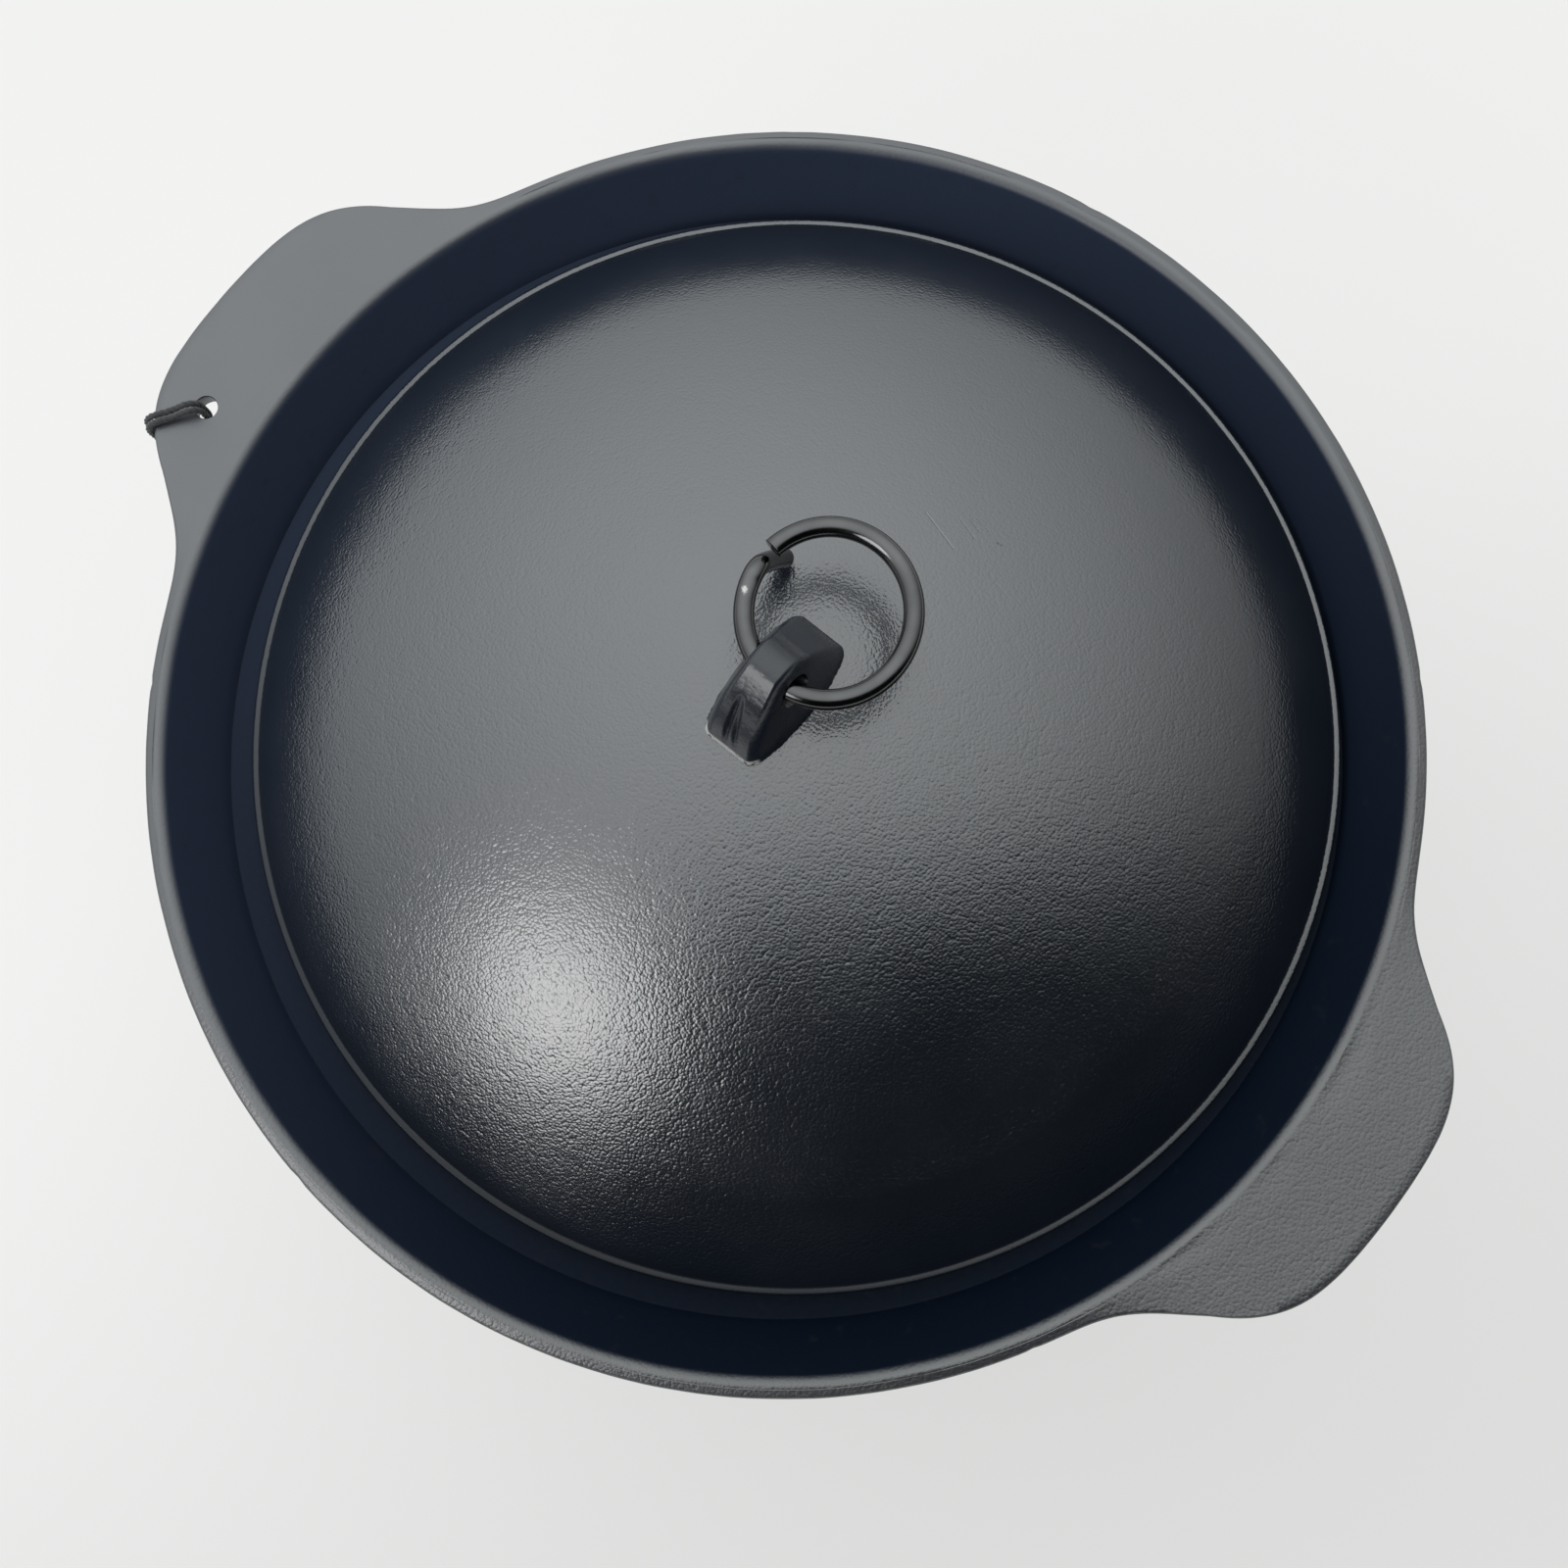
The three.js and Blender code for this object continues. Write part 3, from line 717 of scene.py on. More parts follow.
cove_run = SEAT_COVE * math.tan(math.radians(180 - collar_lean) / 2)
cove_centre = (SEAT_RADIUS - cove_run, SEAT_HEIGHT + SEAT_COVE)
cove_end = (SEAT_RADIUS + cove_run * flare[0], SEAT_HEIGHT + cove_run * flare[1])
within += line(within[-1], cove_end, 14)
within += arc(cove_centre, SEAT_COVE, collar_lean - 180, -90, 5)
within += line(within[-1], (POT_INSIDE + SEAT_EDGE, SEAT_HEIGHT), 4)
within += arc((POT_INSIDE + SEAT_EDGE, SEAT_HEIGHT - SEAT_EDGE), SEAT_EDGE, 90, 180, 3)
within += line(within[-1], (POT_INSIDE, POT_WALL + POT_CORNER), 8)
within += arc((base_radius, POT_WALL + POT_CORNER), POT_CORNER, 0, -90, 24)
within += line(within[-1], (0, POT_WALL), 6)

pulls = [0.0] * len(below) + list(np.arange(1, UNDERSIDE_ROWS + 1) / UNDERSIDE_ROWS) + [1.0] * len(edge)
pulls += list(1 - np.arange(1, TOP_ROWS + 1) / TOP_ROWS) + [0.0] * len(within)
pot_profile = np.array([*below, *underside, *edge, *top, *within])
print("pot profile", len(pot_profile), "rows, rim", 2 * RIM_RADIUS, "mm across")

# %% Turn the pot and pull out the handles
POT_COLUMNS = 560
HANDLE_CROWDING = 0.3
# Where each nick is, in degrees, and how deep
NICKS = ((43, 0.16), (98, 0.2), (127, 0.12), (214, 0.18), (262, 0.2), (331, 0.15))
NICK_WIDTH = 0.4
NICK_HEIGHT = 2.5
# How far the casting wavers, and over which length
SIDE_WAVER = ((0.09, 14), (0.05, 4))
TOP_WAVER = (0.14, 11)
HOLE_RADIUS = 2.4
HOLE_WAIST = 2.15
HOLE_MOUTH = 4.8
DRILL_DEPTH = 14
DRILL_TOP = 3


def handle_pull(angle):
    """How far the edge is pulled out at an angle: flat across each handle, nothing beside it."""
    from_handle = np.minimum(np.abs(angle), math.pi - np.abs(angle))
    share = from_handle / HANDLE_HALF_ANGLE
    steepness = np.where(share < 1, HANDLE_SHOULDER, HANDLE_FOOT)
    return HANDLE_REACH * 2 ** -(share ** steepness)


def nick_depth(angle):
    """How deep the small casting flaws bite into the rim's outer edge."""
    depth = 0.0
    for degrees, deep in NICKS:
        away = (math.degrees(angle) - degrees + 180) % 360 - 180
        depth = max(depth, deep * hump(away, NICK_WIDTH))
    return depth


even = -math.pi + 2 * math.pi * np.arange(POT_COLUMNS) / POT_COLUMNS
angles = even - HANDLE_CROWDING * np.sin(2 * even)
pull = handle_pull(angles)
nicks = np.array([nick_depth(angle) for angle in angles])
loops = []
for (radius, height), share in zip(pot_profile, pulls):
    on_edge = share > 0.99
    reach = radius + share * pull
    if on_edge:
        reach = reach - nicks * (height > RIM_HEIGHT - NICK_HEIGHT)
    loop = np.stack([reach * np.cos(angles), reach * np.sin(angles), np.full(POT_COLUMNS, height)], axis=1)
    if height > RIM_HEIGHT - EDGE_ROUND - 0.01:
        loop[:, 2] -= RIM_CROWN * share * (1 - pull / HANDLE_REACH)
    if share > 0 or height > SEAT_HEIGHT + 1:
        for point in loop:
            length = math.hypot(point[0], point[1])
            inward = sum(deep * unevenness(point, size) for deep, size in SIDE_WAVER)
            point[:2] *= (length - inward) / length
            if height > RIM_HEIGHT - 0.01:
                point[2] -= TOP_WAVER[0] * unevenness(point, TOP_WAVER[1])
    loops.append(loop)
pot = skin("pot_casting", loops, 32)

drill = turned("drill", [
    (0, -DRILL_DEPTH), (HOLE_MOUTH, -DRILL_DEPTH), (HOLE_WAIST, -0.3),
    (HOLE_RADIUS, 0.2), (HOLE_RADIUS, DRILL_TOP), (0, DRILL_TOP),
], 40)
shift(drill, CORD_HOLE)
carve(pot, [("DIFFERENCE", drill)], 32)
print("pot", len(pot.data.vertices), "points")

# %% [markdown]
# The outside of the pot
#
# Rim and handles have the same lacquer as the lid. Below the collar the coat mirrors less, so that the wall
# stays black beside a pale table. Two materials would leave a hard line on the wall, so one finish mixes two
# coats by their height.

# %% Finish outside
WALL_INDEX = 1.5
WALL_FADE = (13, 2)

pot_lacquer, flow, place = new_finish("pot_lacquer")
height = flow.node("ShaderNodeSeparateXYZ", None, {0: place}, out="Z")
wall_coat = lacquer_coat(flow, place, index=WALL_INDEX, **POT_COAT)
top_coat = lacquer_coat(flow, place, **POT_COAT)
above_wall = height.between(*((root_height - below_root) * MM for below_root in WALL_FADE))
show(flow, above_wall.blend(wall_coat, top_coat))
pot.data.materials.clear()
pot.data.materials.append(pot_lacquer)
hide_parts("pot_body")
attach(pot, "pot")
print("finish", pot_lacquer.name)

# %% [markdown]
# The inside of the pot
#
# Collar, ledge and bowl look deep navy and hardly mirror anything, unlike the lid and the handles: the coat
# is matt there, with a faint brown bloom in spots. The navy is painted paler towards the upper left of the
# picture, as painted light, and darker on the ledge, as painted shade. The faces that look towards a point
# above the bowl get this second finish, and just below the rim it fades into the lacquer. A line painted by
# hand would do the same, but the rule also holds for the bowl.

# %% Finish inside
NAVY_NEAR = (0.0035, 0.0068, 0.014, 1)
NAVY_PAINTED_LIGHT = (0.029, 0.039, 0.066, 1)
PAINTED_LIGHT_NAVY_RANGE = (-0.11, 0.11)
LEDGE_SHADE = (0.0015, 0.003, 0.0065, 1)
BLOOM_COLOUR = (0.02, 0.019, 0.025, 1)
MATT_INDEX = 1.12
RIM_FADE = (1.2, 0.05)
SIGHT_HEIGHT = 12

inside_finish, flow, place = new_finish("matt_inside")
height = flow.node("ShaderNodeSeparateXYZ", None, {0: place}, out="Z")
crust = noise_at(flow, place, 900.0, 3.0)
bloom = noise_at(flow, place, 260.0, 2.0).between(0.6, 0.9)
# Painted light: the navy gets paler towards the upper left of the picture.
navy_painted_light_share = place.along(towards(*PAINTED_LIGHT_SIDE)).between(*PAINTED_LIGHT_NAVY_RANGE)
navy = navy_painted_light_share.mix(NAVY_NEAR, NAVY_PAINTED_LIGHT)
# Painted shade: the ledge below the lid is darkened.
above_ledge = height.between(SEAT_HEIGHT * MM, (SEAT_HEIGHT + 3) * MM, 0.85, 1)
shaded = (1 - above_ledge).mix(navy, LEDGE_SHADE)
matt_coat = flow.node("ShaderNodeBsdfPrincipled", None, {
    "Base Color": (0.4 * bloom).mix(shaded, BLOOM_COLOUR),
    "Roughness": crust.between(0.3, 0.7, 0.42, 0.55),
    "IOR": MATT_INDEX,
    "Normal": flow.node("ShaderNodeBump", None, {"Distance": 0.06 * MM, "Height": crust}, out="Normal"),
})
rim_coat = lacquer_coat(flow, place, **POT_COAT)
near_top = height.between(*((RIM_HEIGHT - below_rim) * MM for below_rim in RIM_FADE))
show(flow, near_top.blend(matt_coat, rim_coat))
pot.data.materials.append(inside_finish)
above_bowl = Vector((0, 0, RIM_HEIGHT + SIGHT_HEIGHT)) * MM
for face in pot.data.polygons:
    looks_in = face.normal.dot(above_bowl - face.center) > 0
    within_top = math.hypot(*face.center.xy) < inside_centre[0] * MM
    face.material_index = int(looks_in and within_top)
print("inside faces", sum(face.material_index for face in pot.data.polygons))

# %% [markdown]
# The lid
#
# The lid is a cap of a sphere with a narrow lip, which a small hollow parts from the dome, and it lies a
# little off the middle, pushed against the collar. It is turned like the pot. Its finish is the same lacquer,
# duller on the lip, with five fine scratches beside the ring. They are drawn into the finish as thin lines,
# because cuts that are only a fraction of a millimetre wide would need a fine mesh of their own.

# %% Turn the lid
LID_PLACE = (0.596, 2.428, 93.3)
LID_RADIUS = 102
LID_EDGE = 3.2
LID_RISE = 38
LID_WALL = 4
LIP_WIDTH = 1.4
DOME_EDGE = LID_RADIUS - LIP_WIDTH
DOME_RADIUS = (DOME_EDGE ** 2 + LID_RISE ** 2) / (2 * LID_RISE)
LID_HEIGHT = LID_EDGE + LID_RISE
DOME_CENTRE = LID_HEIGHT - DOME_RADIUS
LUG_SIDE_SHIFT = -1.8
TENON_RADIUS = 4
FIT_GAP = 0.3


def dome_arc(radius, start_height, steps):
    """Points of a dome from a height up to its top, with the first one."""
    start = math.degrees(math.asin((start_height - DOME_CENTRE) / radius))
    first = (radius * math.cos(math.radians(start)), start_height)
    return [first, *arc((0, DOME_CENTRE), radius, start, 90, steps)]


FOOT_ROUND = 0.6
LIP_ROUND = 0.6
LIP_HOLLOW = 0.8
DOME_WAVER = (0.1, 26)
HOLE_REACH = (20, 60)

lid_profile = dome_arc(DOME_RADIUS - LID_WALL, 0, 30)[::-1]
lid_profile += line(lid_profile[-1], (LID_RADIUS - FOOT_ROUND, 0), 3)
lid_profile += arc((LID_RADIUS - FOOT_ROUND, FOOT_ROUND), FOOT_ROUND, -90, 0, 4)
lid_profile += arc((LID_RADIUS - LIP_ROUND, LID_EDGE - LIP_ROUND), LIP_ROUND, 0, 90, 8)
hollow_height = LID_EDGE + LIP_HOLLOW
hollow_out = math.sqrt((DOME_RADIUS + LIP_HOLLOW) ** 2 - (hollow_height - DOME_CENTRE) ** 2)
hollow_end = math.degrees(math.atan2(DOME_CENTRE - hollow_height, -hollow_out))
lid_profile += [(hollow_out, LID_EDGE), *arc((hollow_out, hollow_height), LIP_HOLLOW, -90, hollow_end, 8)]
lid_profile += dome_arc(DOME_RADIUS, lid_profile[-1][1], 90)[1:]
lid = turned("lid_casting", lid_profile, 360, 30)
for vertex in lid.data.vertices:
    outward = vertex.co - Vector((0, 0, DOME_CENTRE * MM))
    if vertex.co.z > LID_EDGE * MM and outward.length > (DOME_RADIUS - 1) * MM:
        vertex.co -= outward.normalized() * DOME_WAVER[0] * MM * unevenness(vertex.co / MM, DOME_WAVER[1])
hole_radius = TENON_RADIUS + FIT_GAP
low, high = HOLE_REACH
tenon_hole = turned("tenon_hole", [(0, low), (hole_radius, low), (hole_radius, high), (0, high)], 40)
shift(tenon_hole, (LUG_SIDE_SHIFT, 0, 0))
carve(lid, [("DIFFERENCE", tenon_hole)], 30)
shift(lid, LID_PLACE)
lid.data.materials.clear()
print("lid", len(lid.data.vertices), "points, dome radius", round(DOME_RADIUS, 1), "mm")

# %% Lid finish with its scratches
SCRATCHES = (
    ((-1.1, 42.4), (6.6, 40.1), 0.22), ((3.7, 45.4), (8.3, 44.0), 0.16), ((5.4, 46.2), (8.1, 45.5), 0.1),
    ((6.0, 47.3), (9.2, 46.7), 0.12), ((11.3, 45.9), (12.5, 46.2), 0.14),
)
SMOOTH_SIDE = (60, 90)
LIP_COAT = {"grain_mm": 0.5, "depth_mm": 0.03, "gloss": 0.4, "index": 1.4}
LIP_FADE = (1.8, 0.8)


def scratch_lines(flow, place):
    """Thin lines between two points seen from above, each with its half width, in millimetres."""
    across = flow.node("ShaderNodeSeparateXYZ", None, {0: place}, out="X")
    along = flow.node("ShaderNodeSeparateXYZ", None, {0: place}, out="Y")
    total = None
    for start, end, half_width in SCRATCHES:
        way = np.subtract(end, start)
        length = float(np.linalg.norm(way))
        way = way / length
        middle = np.add(start, end) / 2
        x = across - float(middle[0]) * MM
        y = along - float(middle[1]) * MM
        run = flow.math("ABSOLUTE", x * float(way[0]) + y * float(way[1]))
        off = flow.math("ABSOLUTE", y * float(way[0]) - x * float(way[1]))
        mark = (run < length / 2 * MM) * off.between(0, half_width * MM, 1, 0)
        total = mark if total is None else flow.math("MAXIMUM", total, mark)
    return total


def smooth_side(place):
    """The grain fades on the side that points to the upper right of the picture."""
    return place.along(towards(*SMOOTH_SIDE)).between(0.0, 0.06, 1, 0.5)


lid_finish, flow, place = new_finish("lid_lacquer")
DOME_COAT = {"grain_mm": 0.54, "depth_mm": 0.105, "gloss": 0.23, "dust": 0.03, "smooth": smooth_side}
dome_coat = lacquer_coat(flow, place, marks=scratch_lines, wear_and_highlight_level=0.18, **DOME_COAT)
lip_coat = lacquer_coat(flow, place, **LIP_COAT)
flat_place = flow.node("ShaderNodeVectorMath", {"operation": "MULTIPLY"}, {0: place, 1: (1, 1, 0)})
lid_axis = Vector((LID_PLACE[0], LID_PLACE[1], 0)) * MM
on_lip = flat_place.away_from(lid_axis).between(*((DOME_EDGE - inset) * MM for inset in LIP_FADE))
duller = place.along(towards(*SMOOTH_SIDE)).between(-0.1, 0.1, 1, 0.1)
show(flow, (on_lip * duller).blend(dome_coat, lip_coat))
lid.data.materials.append(lid_finish)
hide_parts("lid")
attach(lid, "lid")
print("lid has", len(SCRATCHES), "scratches")

# %% [markdown]
# The lug
#
# The lug is a small arched block with a cross hole for the ring. Its cross sections stand in a row along
# its length, each with two leaning sides, two rounded edges and a flat top that follows the arch. One slope
# falls evenly from the ridge, which makes a broad bright patch, and lower down two grooves are left in it
# from casting. A block that is cut and bevelled by modifiers would also do, but the grooves are easier to
# lay into rows of points.

# %% Shape of the lug
LUG_PLACE = (LID_PLACE[0] + LUG_SIDE_SHIFT, LID_PLACE[1], LID_PLACE[2] + LID_HEIGHT)
LUG_LENGTH = 24.6
LUG_WIDTH = 14
LUG_HEIGHT = 16.5
LUG_LEAN = (-0.7, -0.4)
LUG_END_SHIFT = -0.4
LUG_FLARE = 0.45
FLARE_HEIGHT = 0.5
LUG_RIDGE_LENGTH = 4.2
LUG_RIDGE_WIDTH = 6.4
LUG_END_WIDTH = 9.7
LUG_ROUND = 1.8
LUG_HOLE = (0.1, 10.6)
LUG_HOLE_RADIUS = 2.8
LUG_FOOT = -3.6
GROOVE_START = 5.0
GROOVE_LENGTH = 6.3
GROOVE_WIDTH = 0.42
# How deep each groove is, how far aside it starts, and how far it drifts on its way down
GROOVES = ((0.8, 1.25, 0.35), (0.55, 0.9, 1.9))
RIDGE_SOFTENING = 20
EDGE_ROWS = 9
SIDE_ROWS = 8
TOP_POINTS = 60

lug_end = LUG_LENGTH / 2
ridge = LUG_RIDGE_LENGTH / 2


def lug_rise(low_pull, high_pull, ridge_end):
    """Points of the arch from the foot of one end up to the ridge. Pulls are shares of length and height."""
    low = (low_pull[0] * lug_end, low_pull[1] * LUG_HEIGHT)
    high = (high_pull[0] * lug_end, high_pull[1] * LUG_HEIGHT)
    points = [(lug_end, LUG_FOOT), *line((lug_end, LUG_FOOT), (lug_end, 0), 4)]
    points += bezier((lug_end, 0), low, high, (ridge_end, LUG_HEIGHT), 36)
    return points + line((ridge_end, LUG_HEIGHT), (0, LUG_HEIGHT), 5)


grooved_rise = lug_rise((0.87, 0.4), (0.58, 0.745), 0.4 * ridge)
plain_rise = lug_rise((0.87, 0.36), (0.42, 1), ridge)
arch = np.array([(-y, z) for y, z in grooved_rise[:-1]] + plain_rise[::-1])
near_ridge = arch[1:-1, 1] > 0.8 * LUG_HEIGHT
for _ in range(RIDGE_SOFTENING):
    softened = (arch[:-2] + 2 * arch[1:-1] + arch[2:]) / 4
    arch[1:-1][near_ridge] = softened[near_ridge]
arch_tangents = np.gradient(arch, axis=0)
arch_tangents /= np.linalg.norm(arch_tangents, axis=1)[:, None]
arch_normals = np.stack([-arch_tangents[:, 1], arch_tangents[:, 0]], axis=1)
arch_steps = np.linalg.norm(np.gradient(arch, axis=0), axis=1)
arch_bends = np.linalg.norm(np.gradient(arch_tangents, axis=0), axis=1) / arch_steps
arch_rounds = np.minimum(LUG_ROUND, 0.8 / np.maximum(arch_bends, 0.01))


def lug_half_width(along, height):
    """Half the lug's width, which shrinks towards the ridge and towards both ends."""
    middle = (LUG_WIDTH + (LUG_RIDGE_WIDTH - LUG_WIDTH) * height / LUG_HEIGHT) / 2
    return middle * (1 - (1 - LUG_END_WIDTH / LUG_WIDTH) * (along / lug_end) ** 2)


def groove_depth(across, along):
    """Two grooves that part on their way down one slope of the lug."""
    down = (-along - GROOVE_START) / GROOVE_LENGTH
    if not 0 < down < 1.1:
        return 0.0
    fade = min(1.0, 2.5 * down, 4 * (1.1 - down))
    depths = [deep * hump(across + aside - drift * down, GROOVE_WIDTH) for deep, aside, drift in GROOVES]
    return fade * max(depths)


def lug_section(place, normal, edge_drop):
    """One closed cross section of the lug as points of (across, along, height)."""
    half = LUG_WIDTH / 2
    right = []
    for step in range(EDGE_ROWS, -1, -1):
        turn = math.pi / 2 * step / EDGE_ROWS
        inset = edge_drop * (1 - math.sin(turn))
        along, height = place - normal * inset
        right.append((half - LUG_ROUND * (1 - math.cos(turn)), along, max(height, LUG_FOOT)))
    side_along, side_top = right[-1][1:]
    for share in np.arange(1, SIDE_ROWS + 1) / SIDE_ROWS:
        right.append((half, side_along, side_top + (LUG_FOOT - side_top) * share))
    left = [(-across, along, height) for across, along, height in right[::-1]]
    flat = half - LUG_ROUND
    strip = [(flat - 2 * flat * share, *place) for share in np.arange(1, TOP_POINTS) / TOP_POINTS]
    points = []
    for across, along, height in left + strip[::-1] + right:
        foot = LUG_FLARE * math.exp(-max(height + FLARE_HEIGHT, 0) / FLARE_HEIGHT)
        across *= (lug_half_width(along, height) + foot) / half
        depth = groove_depth(across, along)
        lean = height / LUG_HEIGHT
        along += foot * (along / lug_end) ** 3 + LUG_END_SHIFT
        points.append((
            across + LUG_LEAN[0] * lean,
            along - normal[0] * depth + LUG_LEAN[1] * lean,
            height - normal[1] * depth,
        ))
    return np.array(points)


sections = [lug_section(*row) for row in zip(arch, arch_normals, arch_rounds)]
sections = [np.repeat([sections[0].mean(axis=0)], len(sections[0]), axis=0), *sections]
sections.append(np.repeat([sections[-1].mean(axis=0)], len(sections[-1]), axis=0))
lug = skin("lug_casting", sections, 40)
print("lug", len(lug.data.vertices), "points")

# %% Fit the lug to the dome
HEAD_RADIUS = 6
HEAD_BEVEL = 0.6
HEAD_HEIGHT = 1.6
TENON_REACH = 1.8
MOUTH_RADIUS = 5
MOUTH_REACH = 12
BORE_HALF = 3.2
HOLE_SHIFT = -0.4
CUTTER_RADIUS = 40
CUTTER_DEPTH = 30

head = -LID_WALL - 2 * FIT_GAP
tenon = turned("tenon", [
    (0, head - HEAD_HEIGHT), (HEAD_RADIUS - HEAD_BEVEL, head - HEAD_HEIGHT),
    (HEAD_RADIUS, head - HEAD_HEIGHT + HEAD_BEVEL), (HEAD_RADIUS, head),
    (TENON_RADIUS, head), (TENON_RADIUS, TENON_REACH), (0, TENON_REACH),
], 48)
dome_top = [(r, z - LID_HEIGHT) for r, z in dome_arc(DOME_RADIUS + FIT_GAP, LID_HEIGHT - 5, 24)]
dome_cut = turned("dome_cut", [(0, -CUTTER_DEPTH), (CUTTER_RADIUS, -CUTTER_DEPTH), *dome_top], 96)
shift(dome_cut, (-LUG_SIDE_SHIFT, 0, 0))
mouth = [(LUG_HOLE_RADIUS, BORE_HALF), (MOUTH_RADIUS, MOUTH_REACH), (0, MOUTH_REACH)]
cross_hole = turned("cross_hole", [(r, -z) for r, z in mouth[::-1]] + mouth, 48)
for vertex in cross_hole.data.vertices:
    across, along, height = vertex.co
    vertex.co = (height, along, -across)
shift(cross_hole, (HOLE_SHIFT, *LUG_HOLE))
carve(lug, [("DIFFERENCE", dome_cut), ("UNION", tenon), ("DIFFERENCE", cross_hole)], 40, folded=True)
shift(lug, LUG_PLACE)
print("lug measures", [round(side / MM, 1) for side in lug.dimensions], "mm")

# %% [markdown]
# The coat of the lug
#
# The lug is smoother than the lid, and along the foot of its grooved end a bright line is painted into the
# coat, a painted highlight. A mask of the mesh's edges would brighten every edge, so this line is where two
# distances are small, the one from the dome and the one from that end.

# %% Lug finish
LUG_COAT = {"grain_mm": 0.9, "depth_mm": 0.05, "gloss": 0.26, "index": 1.65}
FOOT_HIGHLIGHT_HEIGHT = (1.0, 1.6)
FOOT_HIGHLIGHT_LENGTH = (0.6, 1.6)


# Painted highlight: a pale line along the foot of the lug's grooved end.
def painted_foot_highlight(flow, place):
    """The painted highlight, a bright line along the foot of the grooved end."""
    from_end = place.along((0, 1, 0)) - (LUG_PLACE[1] - lug_end) * MM
    dome_middle = Vector((LID_PLACE[0], LID_PLACE[1], LID_PLACE[2] + DOME_CENTRE)) * MM
    off_dome = place.away_from(dome_middle) - DOME_RADIUS * MM
    crumbs = noise_at(flow, place, 1500.0, 2.0).between(0.32, 0.46)
    low = off_dome.between(*(limit * MM for limit in FOOT_HIGHLIGHT_HEIGHT), 1, 0)
    return low * from_end.between(*(limit * MM for limit in FOOT_HIGHLIGHT_LENGTH), 1, 0) * crumbs


lug_lacquer, flow, place = new_finish("lug_lacquer")
show(flow, lacquer_coat(flow, place, marks=painted_foot_highlight, wear_and_highlight_level=1.0, **LUG_COAT))
lug.data.materials.clear()
lug.data.materials.append(lug_lacquer)
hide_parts("lid_lug")
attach(lug, "lid")
print("finish", lug_lacquer.name)

# %% [markdown]
# The ring
#
# The ring is a piece of dark plated wire, bent round by hand. One end is cut off square and has a fine
# burr. The other has a knee, with flat marks from the pliers, and slopes down under the first one until its
# tip stands on the lid, so the ring lies level. A torus would miss all of that, so the wire follows a path
# of its own, and its radius changes at the cut, the marks and the tip.

# %% Bend the ring
RING_WIRE = 3.4
RING_NARROW = 30.2
RING_WIDE = 31.3
RING_MEAN = ((RING_NARROW + RING_WIDE) / 2 - RING_WIRE) / 2
RING_OVAL = (RING_WIDE - RING_NARROW) / 4
RING_LONG_ANGLE = math.radians(123)
RING_SIDE_SHIFT = 0.5
RING_SEAT = 0.7
RING_CUT_ANGLE = math.radians(169)
RING_TURN = 2 * math.pi - 1.6 * RING_WIRE / RING_MEAN
KNEE_BEND = 3
TAIL_SLOPE = math.radians(60)
TIP_LENGTH = 1.7
CUT_ROUND = 0.14
CUT_ROUND_LENGTH = 0.04
BURR_HEIGHT = 0.05
BURR_PLACE = 0.1
BURR_LENGTH = 0.07
MARK_LENGTH = 1.1
MARK_TURN = 0.6


def ring_radius(angle):
    return RING_MEAN + RING_OVAL * math.cos(2 * (angle - RING_LONG_ANGLE))


def ring_point(angle, drop=0.0):
    """A point of the wire's middle line, measured from the middle of the lug's hole."""
    centre = ring_radius(-math.pi / 2) - RING_SEAT
    radius = ring_radius(angle)
    return np.array([RING_SIDE_SHIFT + radius * math.cos(angle), centre + radius * math.sin(angle), -drop])


def tail_point(along):
    """A point of the end that is bent down, by its distance from the knee."""
    bent = min(along / KNEE_BEND, TAIL_SLOPE)
    straight = max(along - KNEE_BEND * TAIL_SLOPE, 0)
    advance = KNEE_BEND * math.sin(bent) + straight * math.cos(TAIL_SLOPE)
    drop = KNEE_BEND * (1 - math.cos(bent)) + straight * math.sin(TAIL_SLOPE)
    return ring_point(RING_CUT_ANGLE - RING_TURN - advance / RING_MEAN, drop)


def tail_length():
    """The length that brings the tail's tip down to the dome."""
    bend_drop = KNEE_BEND * (1 - math.cos(TAIL_SLOPE))
    nominal = KNEE_BEND * TAIL_SLOPE + (LUG_HOLE[1] - bend_drop) / math.sin(TAIL_SLOPE)
    tip = tail_point(nominal)
    from_axis = math.hypot(tip[0] + LUG_SIDE_SHIFT, tip[1] + LUG_HOLE[0])
    dome_drop = DOME_RADIUS - math.sqrt(DOME_RADIUS ** 2 - from_axis ** 2)
    spare = dome_drop - RING_WIRE / 2 * math.cos(TAIL_SLOPE) - FIT_GAP
    return nominal + spare / math.sin(TAIL_SLOPE)


around = RING_TURN * RING_MEAN
total = around + tail_length()
BURR_STEPS = [0, 0.03, 0.08, 0.16, 0.3, 0.5, 0.8]
# How far along the wire each mark is, which way it faces, and how deep it is
PLIER_MARKS = ((around - 1.2, 0.35, 0.1), (around + 1.3, -0.5, 0.14), (around - 4.6, 0.6, 0.07))
even_steps = list(np.linspace(1.1, total - TIP_LENGTH - 0.2, 260))
tip_steps = list(np.linspace(total - TIP_LENGTH, total, 14))
along_wire = np.array(BURR_STEPS + even_steps + tip_steps)
wire_path = []
for along in along_wire:
    if along < around:
        wire_path.append(ring_point(RING_CUT_ANGLE - along / RING_MEAN))
    else:
        wire_path.append(tail_point(along - around))
wire_path = np.array(wire_path)


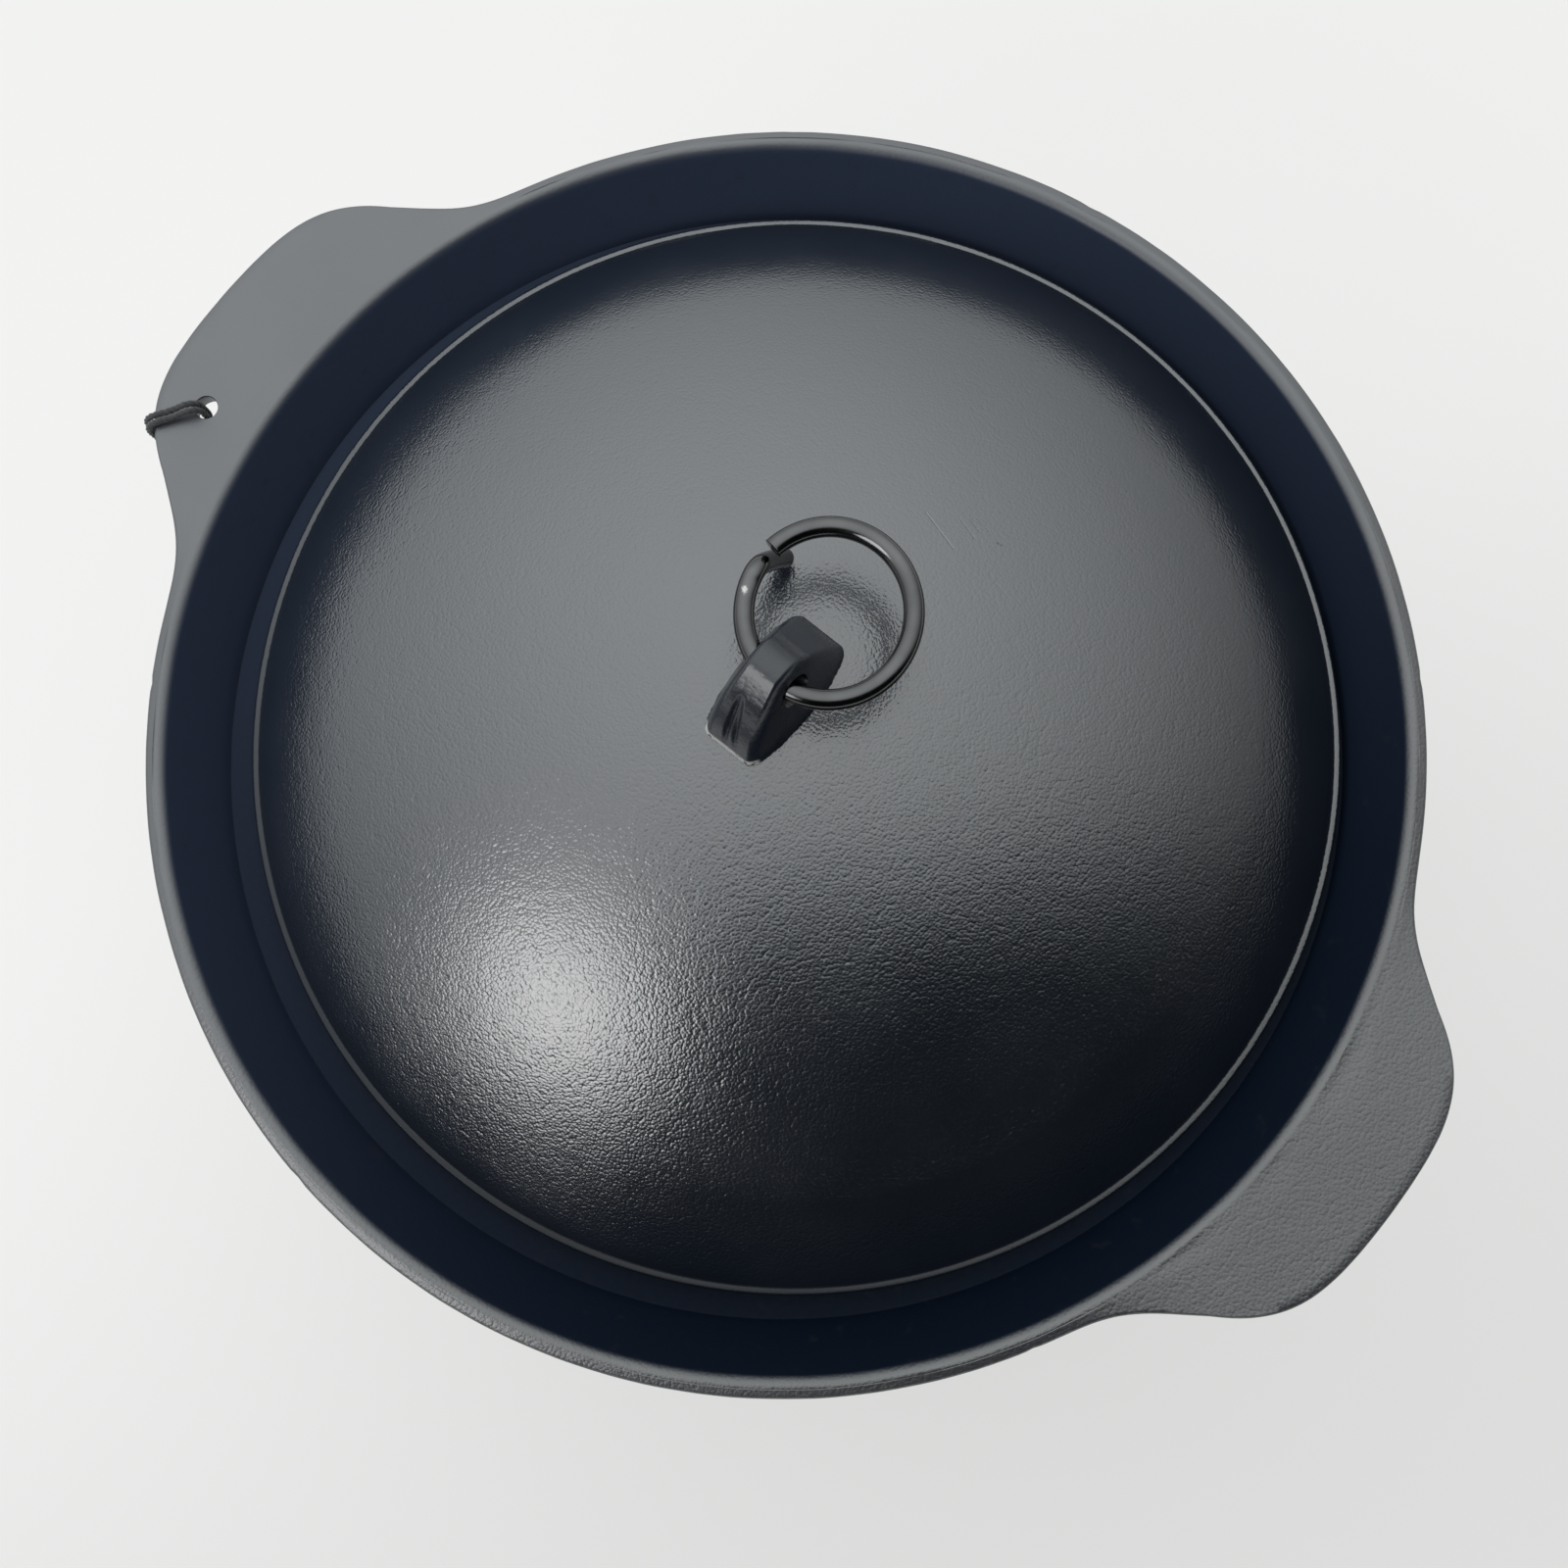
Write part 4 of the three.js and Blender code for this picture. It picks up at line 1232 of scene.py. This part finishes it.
def wire_radius(along, turns):
    """The wire's radius: a burr at the cut end, plier marks at the knee and a round tip."""
    radius = np.full(len(turns), RING_WIRE / 2)
    radius -= CUT_ROUND * hump(along, CUT_ROUND_LENGTH)
    radius += BURR_HEIGHT * hump(along - BURR_PLACE, BURR_LENGTH)
    for place, facing, deep in PLIER_MARKS:
        turned_away = np.angle(np.exp(1j * (turns - facing)))
        radius -= deep * hump(along - place, MARK_LENGTH) * hump(turned_away, MARK_TURN)
    left = max(0.0, (total - along) / TIP_LENGTH)
    if left < 1:
        radius *= math.sqrt(max(0.0, 1 - (1 - left) ** 2) * 0.9 + 0.1 * left)
    return radius


ring = skin("wire_ring", tube_loops(wire_path, (0, 0, 1), 32, wire_radius), 50)
ring_place = np.array([LUG_PLACE[0], LUG_PLACE[1] + LUG_HOLE[0], LUG_PLACE[2] + LUG_HOLE[1]])
shift(ring, ring_place)
print("ring", round(total, 1), "mm of wire,", len(ring.data.vertices), "points")

# %% [markdown]
# The plating of the wire
#
# The wire is dark metal with faint stains, and it mirrors the room sharply. Near the knee a small bright spot
# is painted on, a painted highlight. A painted picture would need the wire unwrapped first, so the spot is
# what lies close to two places on the wire's path, broken up by a fine noise.

# %% Wire finish
PAINTED_GLINT_SPOTS = (around - 3.4, around - 2.9)
PAINTED_GLINT_SIDE = (-0.3, 0, RING_WIRE / 2)
PAINTED_GLINT_COLOUR = (0.45, 0.45, 0.44, 1)
PLATING_DARK = (0.065, 0.066, 0.068, 1)
PLATING_LIGHT = (0.14, 0.141, 0.143, 1)

wire_finish, flow, place = new_finish("dark_plating")
drawn = noise_at(flow, place, 420.0, 4.0, 0.6)
stains = noise_at(flow, place, 160.0, 2.0)
wire_bump = {"Strength": 0.25, "Distance": 0.04 * MM, "Height": drawn}
plating = stains.mix(PLATING_DARK, PLATING_LIGHT)
painted_glint = None
# Painted highlight: a pale spot on top of the wire near the knee.
for along in PAINTED_GLINT_SPOTS:
    spot = np.array([np.interp(along, along_wire, wire_path[:, axis]) for axis in range(3)])
    spot = Vector(spot + ring_place + PAINTED_GLINT_SIDE) * MM
    glint_spot = place.away_from(spot).between(0.2 * MM, 0.8 * MM, 1, 0)
    painted_glint = glint_spot if painted_glint is None else flow.math("MAXIMUM", painted_glint, glint_spot)
painted_glint = painted_glint * noise_at(flow, place, 1100.0, 2.0).between(0.4, 0.6)
show(flow, flow.node("ShaderNodeBsdfPrincipled", None, {
    "Base Color": painted_glint.mix(plating, PAINTED_GLINT_COLOUR),
    "Metallic": 1.0,
    "Roughness": drawn.between(0.25, 0.75, 0.1, 0.2) + 0.15 * painted_glint,
    "Normal": flow.node("ShaderNodeBump", None, wire_bump, out="Normal"),
}))
ring.data.materials.append(wire_finish)
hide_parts("lid_ring")
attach(ring, "ring")
print("finish", wire_finish.name)
